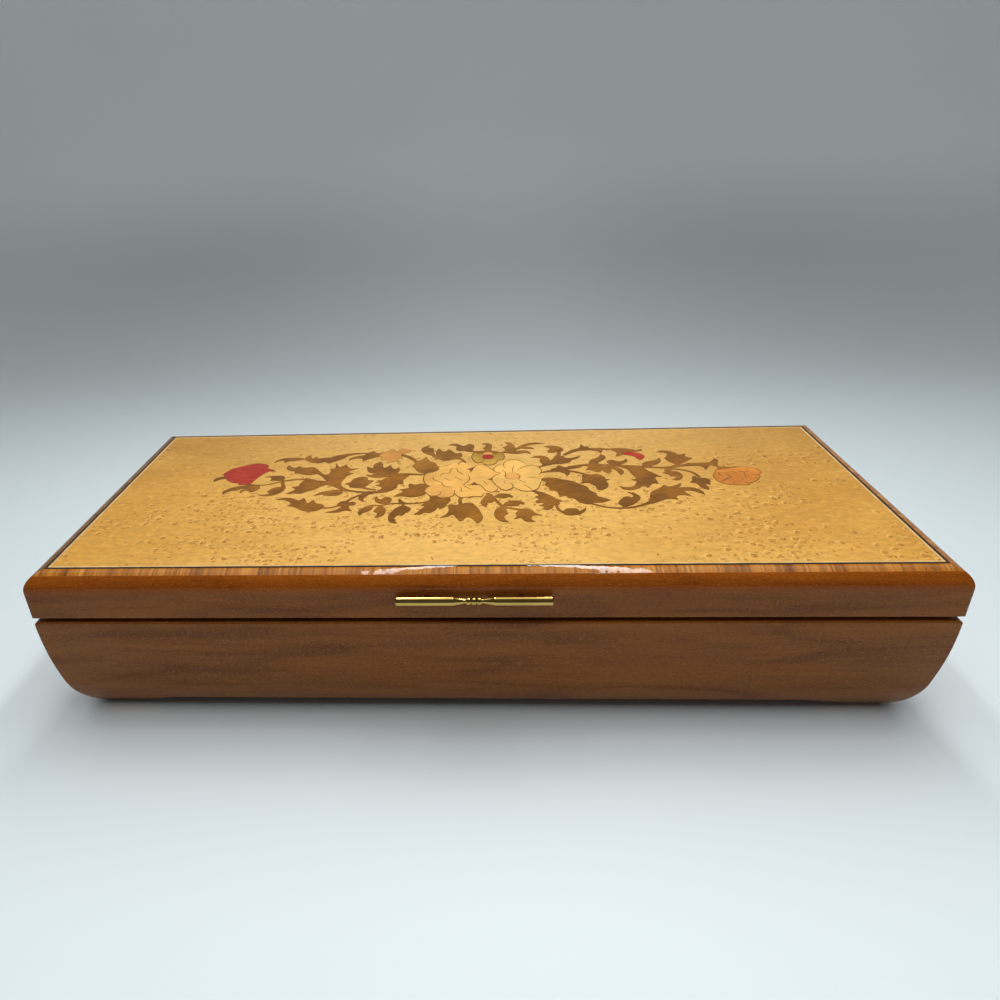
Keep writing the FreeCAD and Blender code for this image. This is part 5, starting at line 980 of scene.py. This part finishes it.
# %% Cut the two blossoms
left_blossom = leaf(
    (-22.7, 11.4), (-22.6, 6.4), (-21.4, 2.6), (-19.4, 0.9), (-21.1, -1.4), (-21.3, -4.4), (-19.4, -7.4),
    (-16.8, -7.9), (-14.6, -9.5), (-12, -9.3), (-10.1, -7.4), (-8.4, -9), (-6, -9.8), (-3, -8.9),
    (0.4, -9), (1.7, -6.8), (3.6, -5.5), (6.2, -3.9), (7, -1.4), (6, 2), (4.7, 6), (6.2, 9.6),
    (8.2, 12.2), (6.2, 13.8), (4.6, 17), (2, 20.3), (-1, 21.2), (-3.2, 18.8), (-4.6, 19.6), (-7.2, 23.8),
    (-9, 22), (-11.4, 22.6), (-13.6, 20.6), (-16.6, 19.6), (-17.1, 17.4), (-16.6, 14.8), (-19.4, 13.8),
)
right_blossom = leaf(
    (5, 5.6), (6, 1.6), (7.2, -1.4), (10, -3.6), (12.6, -1.7), (15.6, -4), (19, -4.6), (22.3, -2.6),
    (23.4, 0.8), (24.4, 5.4), (23.8, 9.6), (25, 13.2), (24.2, 17), (22, 19.4), (19, 19), (18.4, 21.6),
    (16.6, 24.4), (13.6, 25.6), (10.8, 24.4), (9.6, 21.4), (7, 20), (5.6, 16.6), (6.2, 13.6), (8.2, 12),
    (6, 9.4),
)
let_in("inlay_left_blossom", petal_yellow, 0.045, [left_blossom])
lower_lobes = leaf(
    (-19.2, 1), (-21.1, -1.4), (-21.2, -4.4), (-19.4, -7.3), (-16.8, -7.8), (-14.6, -9.4), (-12, -9.2),
    (-10.2, -7.2), (-10, -4), (-11.2, -1.2), (-13.6, 0.8), (-16.4, 1.8),
)
side_petal = leaf(
    (-22.6, 11.3), (-22.5, 6.4), (-21.3, 2.7), (-19.2, 1.2), (-17.8, 3), (-18.9, 6.6), (-18.6, 9.8),
    (-20, 12),
)
let_in("inlay_peach_petals", petal_peach, 0.048, [lower_lobes, side_petal])
let_in("inlay_right_blossom", petal_cream, 0.046, [right_blossom])
middle = leaf(
    (13, 12.3), (15, 11.6), (15.9, 9.4), (15.2, 7), (13.2, 6), (11.2, 6.9), (10.4, 9.2), (11.2, 11.6),
)
let_in("inlay_blossom_heart", flower_heart, 0.055, [middle], rim=0.14)

# %% Saw the lines between the petals
petal_lines = [
    line(0.4, (-2.8, 33.4), (-3.6, 29.8), (-2.8, 25.6), (-1.2, 22.8), (0.6, 23.4), (1.6, 25.6)),
    line(0.4, (0.6, 23.6), (2, 21.2), (4.4, 20.4), (6.6, 22.4), (7.5, 25.2)),
    line(0.4, (7.4, 25.6), (9.4, 25.8), (10.3, 28.6), (9.9, 31.8), (8.4, 33)),
    line(0.45, (-22.6, 11.6), (-22.9, 8), (-22.2, 4.4), (-21.2, 2)),
    line(0.35, (-18.6, 9.6), (-18.9, 7.2), (-17.2, 5.4), (-15.2, 3.6), (-14.4, 1), (-12.8, 0), (-10, -0.2)),
    line(0.35, (-15.9, 10.2), (-15.7, 12), (-14.2, 12.9), (-12.6, 12.8), (-12.3, 14.6), (-11.8, 16.8),
         (-11, 17.8)),
    line(0.35, (-9.7, 18), (-9.2, 14.8), (-7.8, 12.6), (-6.7, 11.3)),
    line(0.35, (-10.4, 9), (-8.6, 7.3), (-6.9, 5.5)),
    line(0.3, (-14.6, 8.4), (-13, 6.6), (-11.4, 5.6)),
    line(0.35, (-4.9, 11), (-4.2, 7.8), (-4.9, 4.6), (-6.4, 1.8), (-5.6, -0.6)),
    line(0.35, (-7.5, -0.2), (-7.3, -2.6), (-7.1, -4.8)),
    line(0.35, (-6.2, 0.6), (-4.8, -1.2), (-3, -2.8)),
    line(0.35, (-21.3, -4.2), (-19.6, -7.4), (-17.4, -8), (-15.7, -6.8), (-15.1, -4.4)),
    line(0.35, (-15, -8.8), (-12.2, -9.4), (-10.5, -8), (-9.9, -5.6), (-10, -3)),
    line(0.45, (-10, -5.2), (-9, -7.8), (-7.4, -9.4), (-5, -9.3), (-2, -8.8), (0.6, -8.8), (1.4, -6.2)),
    line(0.35, (-0.2, 1.8), (1.1, -1), (2.3, -3.8), (4.2, -5.2), (6.3, -3.9), (6.9, -1.8)),
    line(0.3, (1.4, 4.8), (2, 3.2), (3, 1.6)),
    line(0.35, (-3.6, 13.2), (-2.8, 17.2), (-1, 20.6), (1.4, 20.4), (3.4, 18.4), (5, 15.6), (6.3, 13.6)),
    line(0.3, (-16.4, 19.6), (-14.2, 20.2), (-12.2, 21.8)),
    line(0.35, (-8.9, 20.8), (-8.7, 23.2), (-7.2, 24.6)),
    line(0.4, (8.3, 12.2), (5.8, 9.5), (4.6, 6.8), (5, 4.4), (6, 1.6), (7, -1.2)),
    line(0.35, (10.3, 17.2), (9.7, 20.6), (10.8, 23.7), (13.6, 25.6), (16.7, 24.2), (18.6, 21.2)),
    line(0.3, (13.3, 12.6), (13.4, 16), (14, 19.6)),
    line(0.35, (15.2, 14.6), (17, 17), (19.4, 18.9), (22, 19.4), (24.1, 17.2), (25, 13.6), (23.7, 10)),
    line(0.3, (15.4, 5.8), (16.6, 4), (18.4, 2.6)),
    line(0.45, (17, 1), (18.8, -1), (20.2, -3.4)),
    line(0.35, (24.3, 5), (23.4, 0.6), (22.2, -2.8), (19.4, -4.7), (15.8, -4), (13.1, -1)),
    line(0.4, (7, 0.2), (8, -2.4), (10.2, -3.7), (12.5, -2.1), (12.9, 0.4), (12.1, 2.8)),
    line(0.35, (8.4, 12.2), (6.3, 13.5), (5.6, 16.2), (6.8, 19.2), (9, 21.2)),
    line(0.35, (9.2, 15.4), (10.4, 12.2), (10.1, 9.2), (10.9, 6.6)),
    line(0.35, (15.2, 11.6), (16.1, 8.8), (15.2, 5.8)),
    line(0.3, (9.9, 4.8), (9.5, 2.2)),
    line(0.35, (18.8, 7.8), (21.6, 7.5), (24.2, 6.4)),
    leaf(tip(-5, 1.2), (-3.5, 2.1), tip(-2.3, 4.2), (-1.1, 2.2), tip(0.6, 0.9), (-2.2, 1.3)),
    leaf(tip(-5.6, 16.7), (-3.9, 17.4), tip(-2.7, 19), (-3, 16.4), tip(-4.4, 12.8), (-4.2, 15.4)),
    leaf(tip(3, 6.4), (4.2, 7.2), tip(5.2, 6.8), (4.4, 5.8)),
]
let_in("inlay_saw_lines", saw_line, 0.06, petal_lines)
print("marquetry slabs in all:", slabs_cut)

# %% [markdown]
# ## Velvet
# The inside is lined with a short-pile wine-red velvet. Velvet scatters light back at its edges, which the
# shader's sheen does, and its pile is pressed here and there into lighter and darker clouds. A very fine
# noise stands for the pile itself.

# %% Mix the velvet
def velvet():
    recipe = Recipe("velvet")
    crush = recipe.grain(38, detail=4.0, rough=0.6, swirl=0.6)
    pile = recipe.grain(2600, detail=1.0)
    tone = recipe.ramp(crush, (0.3, (0.17, 0.006, 0.012)), (0.7, (0.30, 0.014, 0.026)))
    recipe.set(Base_Color=recipe.glazed(tone, recipe.ramp(pile, (0.3, 0.5), (0.7, 1.0)), 0.5))
    recipe.set(Roughness=0.92, Sheen_Weight=0.6, Sheen_Roughness=0.4, Sheen_Tint=(0.9, 0.3, 0.32))
    recipe.bump(pile, 0.5, 0.00025)
    return recipe.material


wine_velvet = velvet()

# %% [markdown]
# ## Padded pieces
# Each pad is cut from a plain solid in the model, and here it becomes a sewn form: a crowned top that falls
# to drawn-in edges, with a slight unevenness of the filling. A grid of points over the pad's box gives the
# cut form: the height follows how far a point is from the edge, and a seeded noise moves it a little. Then
# the filling goes in. The grid becomes cloth, glued on its flat side, and air pressure blows it up for
# twenty steps. It starts thinner than its place, its moves are scaled so that the greatest is a set cap,
# and it stays in the solid's box. The grid is even already, so it needs no remeshing.

# %% The pad maker
def grid_lines(first, last, count):
    """Places of the grid lines. A narrow cell at each end keeps the rim crisp when the pad is subdivided."""
    edge = 0.0004
    inner = [first + edge + (last - first - 2 * edge) * i / (count - 2) for i in range(count - 1)]
    return [first] + inner + [last]


def pad_form(mesh, low, high, crown, face="up", cells=0.0035, wave=0.12, seed=0.0, belly=None):
    """Adds a closed pad to the mesh, in metres. Its box is low to high, its face is up or down."""
    long, deep, tall = (high[i] - low[i] for i in range(3))
    across, along = max(6, round(long / cells)), max(6, round(deep / cells))
    foot, sign = (low[2], 1) if face == "up" else (high[2], -1)
    reach = belly or min(long, deep) / 2
    columns, lines = grid_lines(low[0], high[0], across), grid_lines(low[1], high[1], along)

    def rise(x, y):
        edge = min(x - low[0], high[0] - x, y - low[1], high[1] - y)
        share = min(1.0, max(0.0, edge / reach))
        height = math.sqrt(1 - (1 - share) ** 2)
        ripple = noise.noise(Vector((x * 55 + seed, y * 55, seed))) * wave * height
        return foot + sign * (tall - crown + crown * min(1.0, height * (1 - wave) + ripple + wave * 0.2))

    top = [[mesh.verts.new((x, y, rise(x, y))) for x in columns] for y in lines]
    under = [[mesh.verts.new((x, y, foot)) for x in columns] for y in lines]
    for rows in (top, under):
        for near, far in zip(rows, rows[1:]):
            for i in range(across):
                mesh.faces.new((near[i], near[i + 1], far[i + 1], far[i]))
    rim = [(0, i) for i in range(across)] + [(j, across) for j in range(along)]
    rim += [(along, i) for i in range(across, 0, -1)] + [(j, 0) for j in range(along, 0, -1)]
    for (a, b), (c, d) in zip(rim, rim[1:] + rim[:1]):
        mesh.faces.new((top[a][b], top[c][d], under[c][d], under[a][b]))


def blown_up(piece, low, high, face, cap, pressure=4.0, steps=20):
    """Fills a closed pad by a cloth simulation and keeps the result as its mesh."""
    cut = piece.data
    flat_side = low.z if face == "up" else high.z
    glued = [point.index for point in cut.vertices if abs(point.co.z - flat_side) < 0.0001]
    piece.vertex_groups.new(name="glued").add(glued, 1.0, "REPLACE")
    cloth = piece.modifiers.new("filling", "CLOTH")
    cloth.settings.vertex_group_mass = "glued"
    cloth.settings.use_pressure = True
    cloth.settings.uniform_pressure_force = pressure
    cloth.settings.effector_weights.gravity = 0.0
    for step in range(1, steps + 1):
        bpy.context.scene.frame_set(step)
    blown = piece.evaluated_get(bpy.context.evaluated_depsgraph_get()).data
    moves = [there.co - here.co for here, there in zip(cut.vertices, blown.vertices)]
    greatest = max(move.length for move in moves)
    moves = [move * min(1.0, cap / greatest) for move in moves]
    piece.modifiers.clear()
    piece.vertex_groups.clear()
    bpy.context.scene.frame_set(1)
    for point, move in zip(cut.vertices, moves):
        spot = point.co + move
        point.co = [min(max(spot[side], low[side]), high[side]) for side in range(3)]
    finer = piece.modifiers.new("finer", "SUBSURF")
    finer.levels = 1
    smooth = bpy.data.meshes.new_from_object(piece.evaluated_get(bpy.context.evaluated_depsgraph_get()))
    piece.modifiers.clear()
    piece.data = smooth
    kept = min(cap, greatest)
    print(piece.name, "blown by", round(greatest * 1000, 2), "mm, kept", round(kept * 1000, 2), "mm")


def pad(name, node, body, crown, cap, face="up", fill=0.6, **more):
    """A pad in place of a plain CAD solid. It is cut thinner by cap, then filled."""
    low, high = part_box(node)
    cut_low, cut_high = low.copy(), high.copy()
    if face == "up":
        cut_high.z -= cap
    else:
        cut_low.z += cap
    mesh = bmesh.new()
    pad_form(mesh, cut_low, cut_high, crown, face, **more)
    made = built(name, mesh, wine_velvet, body, smooth=60)
    blown_up(made, low, high, face, cap)
    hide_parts(node)
    print(name, "size in mm:", [round(side * 1000, 1) for side in high - low])


pad("pad_floor_main", "floor_pad_main", "case", 0.0007, 0.0006, fill=0.4, belly=0.006)
pad("pad_floor_tray", "floor_pad_tray", "case", 0.0007, 0.0006, fill=0.4, belly=0.006)
pad("pad_lid", "lid_pad", "lid", 0.0020, 0.0018, face="down", fill=0.6, belly=0.012, wave=0.08)

# %% [markdown]
# ## Ring rolls
# Rings stand in the slots between seven padded rolls. Each roll is a strip of foam wrapped in velvet, round
# on top and gathered at its ends. The roll is a long pad with a full crown, and its own seed makes each one
# slightly different. The rolls stand tight against each other, so there is no room for them to swell, and
# they keep the form of their grid.

# %% Wrap the ring rolls
low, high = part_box("ring_rolls")
roll_count, roll_gap, roll_crown = 7, 0.0003, 0.0062
roll_pitch = (high.y - low.y + roll_gap) / roll_count
rolls = bmesh.new()
for number in range(roll_count):
    front = low.y + number * roll_pitch
    back = front + roll_pitch - roll_gap
    corners = (low.x, front, low.z), (high.x, back, high.z)
    pad_form(rolls, *corners, roll_crown, cells=0.0013, wave=0.07, seed=number * 3.7)
ring_rolls = built("ring_roll_set", rolls, wine_velvet, "case", smooth=60)
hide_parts("ring_rolls")
print("rolls:", roll_count, "each", round(roll_pitch * 1000, 2), "mm wide")

# %% [markdown]
# ## Wall lining and dividers
# The lining is card wrapped in velvet that stands a little above the rim, so that the lid drops over it.
# Its top edge is a soft fold. The dividers are wrapped the same way. Panels with a rounded top edge are
# enough here: a short row of points over the thickness makes the fold.

# %% Wrap the lining and the dividers
def wrapped_panel(mesh, low, high, thin):
    """A velvet-wrapped panel with a folded, rounded top edge. thin is its thin side, x or y."""
    side, long = (0, 1) if thin == "x" else (1, 0)
    half = (high[side] - low[side]) / 2
    middle = (high[side] + low[side]) / 2
    shoulder = high[2] - half
    angles = [math.pi * i / 8 for i in range(1, 8)]
    profile = [(low[side], low[2]), (low[side], shoulder)]
    profile += [(middle - half * math.cos(angle), shoulder + half * math.sin(angle)) for angle in angles]
    profile += [(high[side], shoulder), (high[side], low[2])]
    steps = max(2, round((high[long] - low[long]) / 0.004))
    loops = []
    for step in range(steps + 1):
        along = low[long] + (high[long] - low[long]) * step / steps
        sag = min(1.0, 1 + 0.04 * noise.noise(Vector((along * 70, middle * 90, 0.5))))
        loop = []
        for across, z in profile:
            across = middle + (across - middle) * sag
            loop.append(mesh.verts.new((across, along, z) if thin == "x" else (along, across, z)))
        loops.append(loop)
    skin(mesh, loops)


def wrapped(name, node, panels):
    mesh = bmesh.new()
    for low, high, thin in panels:
        wrapped_panel(mesh, low, high, thin)
    made = built(name, mesh, wine_velvet, "case", smooth=60)
    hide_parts(node)
    print(name, "panels:", len(panels))


for node, thin in (("divider_movement", "x"), ("divider_rings", "x"), ("divider_bay", "y")):
    wrapped("wrapped_" + node, node, [(*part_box(node), thin)])
low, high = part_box("wall_lining")
thick = 0.002
wrapped("wrapped_wall_lining", "wall_lining", [
    (low, (high.x, low.y + thick, high.z), "y"),
    ((low.x, high.y - thick, low.z), high, "y"),
    ((low.x, low.y + thick, low.z), (low.x + thick, high.y - thick, high.z), "x"),
    ((high.x - thick, low.y + thick, low.z), (high.x, high.y - thick, high.z), "x"),
])

# %% [markdown]
# ## Floor and backdrop
# The photograph was taken in a white light tent: a pale, slightly blue floor that sweeps up into the back
# wall. The sweep is one curved sheet, with painted shade and light on its paper: painted shade makes it
# greyer where it rises, most low on the wall, and dark far in front, where the room beyond the tent is
# unlit, and painted light makes it paler higher up the wall and towards the sides. It reaches far out to
# all sides, so that its ends stay out of sight when the box is seen from elsewhere.

# %% Lay the sweep
def sweep_paper():
    recipe = Recipe("paper")
    across, depth, height = recipe.split()
    # Painted shade and light on the paper: the wall is darker low down and paler higher up and to the sides,
    # and the floor far in front is painted dark for the unlit room.
    painted_shade_low_wall, painted_light_high_wall, painted_light_side_wall = (0.45, 0.50, 0.515), (0.68, 0.745, 0.76), (0.95, 1.0, 1.0)
    floor, painted_shade_far_front = (0.80, 0.885, 0.91), (0.26, 0.28, 0.285)
    cloud = recipe.ramp(recipe.grain(3, detail=2.0), (0.3, 0.96), (0.7, 1.0))
    wall = recipe.blend(recipe.fading(height, 0.06, 0.17), painted_shade_low_wall, painted_light_high_wall)
    aside = recipe.fading(recipe.sum("ABSOLUTE", across), 0.10, 0.60, 0.0, 0.30)
    wall = recipe.blend(aside, wall, painted_light_side_wall)
    tone = recipe.blend(recipe.fading(depth, 0.05, 0.48), floor, wall)
    tone = recipe.blend(recipe.fading(depth, -1.1, -0.28), painted_shade_far_front, tone)
    recipe.set(Base_Color=recipe.glazed(tone, cloud), Roughness=0.6)
    return recipe.material


reach, wall_place, wall_top, bend = 6.0, 0.60, 1.3, 0.30
profile = [(-reach, 0.0), (-0.6, 0.0), (0.2, 0.0)]
for degrees in range(0, 91, 6):
    angle = math.radians(degrees)
    profile.append((wall_place - bend + bend * math.sin(angle), bend - bend * math.cos(angle)))
profile += [(wall_place, 0.8), (wall_place, wall_top)]
sweep = bmesh.new()
left, right = ([sweep.verts.new((side, y, z)) for y, z in profile] for side in (-reach, reach))
for i in range(len(profile) - 1):
    sweep.faces.new((left[i], right[i], right[i + 1], left[i + 1]))
data = bpy.data.meshes.new("sweep")
sweep.to_mesh(data)
sweep.free()
data.shade_smooth()
data.materials.append(sweep_paper())
backdrop = placed("sweep", data)
print("sweep points across:", len(profile))

# %% [markdown]
# ## Lamps
# The tent has two lamp strips under its roof. They run towards the back wall and apart towards the camera,
# and their glare shows on the crossband as two slanting streaks, left and right of the handle. Each strip
# is laid from one end point to the other and faces the box. A wide soft fill over the tent's open front
# lights the floor. It is kept out of reflections, which stay dark on that side as in the photograph.

# %% Hang the lamps
def lamp(name, width, length, watts):
    """A lamp with a rectangular face."""
    light = bpy.data.lights.new(name, "AREA")
    light.shape = "RECTANGLE"
    light.size, light.size_y = width, length
    light.energy = watts
    print(name, "length in mm:", round(length * 1000), "power:", watts, "W")
    return placed(name, light)


def strip(name, start, end, width, watts):
    """A long narrow lamp between two points that faces the middle of the box's floor."""
    start, end = Vector(start), Vector(end)
    middle = (start + end) / 2
    along = (end - start).normalized()
    away = (middle - along * middle.dot(along)).normalized()
    axes = Matrix((along.cross(away), along, away)).transposed()
    hung = lamp(name, width, (end - start).length, watts)
    hung.data.spread = math.radians(110)
    hung.matrix_world = Matrix.Translation(middle) @ axes.to_4x4()


strip("strip_right", (0.072, 0.46, 0.44), (0.175, -0.06, 0.70), 0.05, 0.52)
strip("strip_left", (-0.040, 0.46, 0.44), (-0.130, -0.06, 0.70), 0.035, 0.32)
fill = lamp("soft_fill", 1.4, 0.8, 5.5)
fill.location = (0, -0.30, 1.15)
fill.rotation_euler = (math.radians(12), 0, 0)
fill.visible_glossy = False

# %% [markdown]
# ## The room's light
# The world is the tent's bright ceiling, which leans to the back. A direction's share in the ceiling's own
# direction says how near it is to the ceiling's middle, and the light fades with it. Below the ceiling,
# towards the camera, it is dark, and that darkness gives the lid's rounded edge its deep colour.

# %% Light the tent
ceiling_middle = (0, 0.45, 0.893)
ceiling_edge, ceiling_core, dark, bright = 0.74, 0.93, 0.09, 1.40
world = bpy.data.worlds.new("room")
bpy.context.scene.world = world
world.use_nodes = True
room = world.node_tree
share = room.nodes.new("ShaderNodeVectorMath")
share.operation = "DOT_PRODUCT"
share.inputs[1].default_value = ceiling_middle
room.links.new(room.nodes.new("ShaderNodeTexCoord").outputs["Generated"], share.inputs[0])
glow = room.nodes.new("ShaderNodeMapRange")
glow.interpolation_type = "SMOOTHSTEP"
for socket, value in zip(glow.inputs[1:5], (ceiling_edge, ceiling_core, dark, bright)):
    socket.default_value = value
room.links.new(share.outputs["Value"], glow.inputs["Value"])
background = room.nodes["Background"]
room.links.new(glow.outputs[0], background.inputs["Strength"])
background.inputs["Color"].default_value = (0.97, 0.99, 1.0, 1)
bpy.context.scene.view_settings.view_transform = "Standard"
print("ceiling light:", bright, "and below it:", dark)
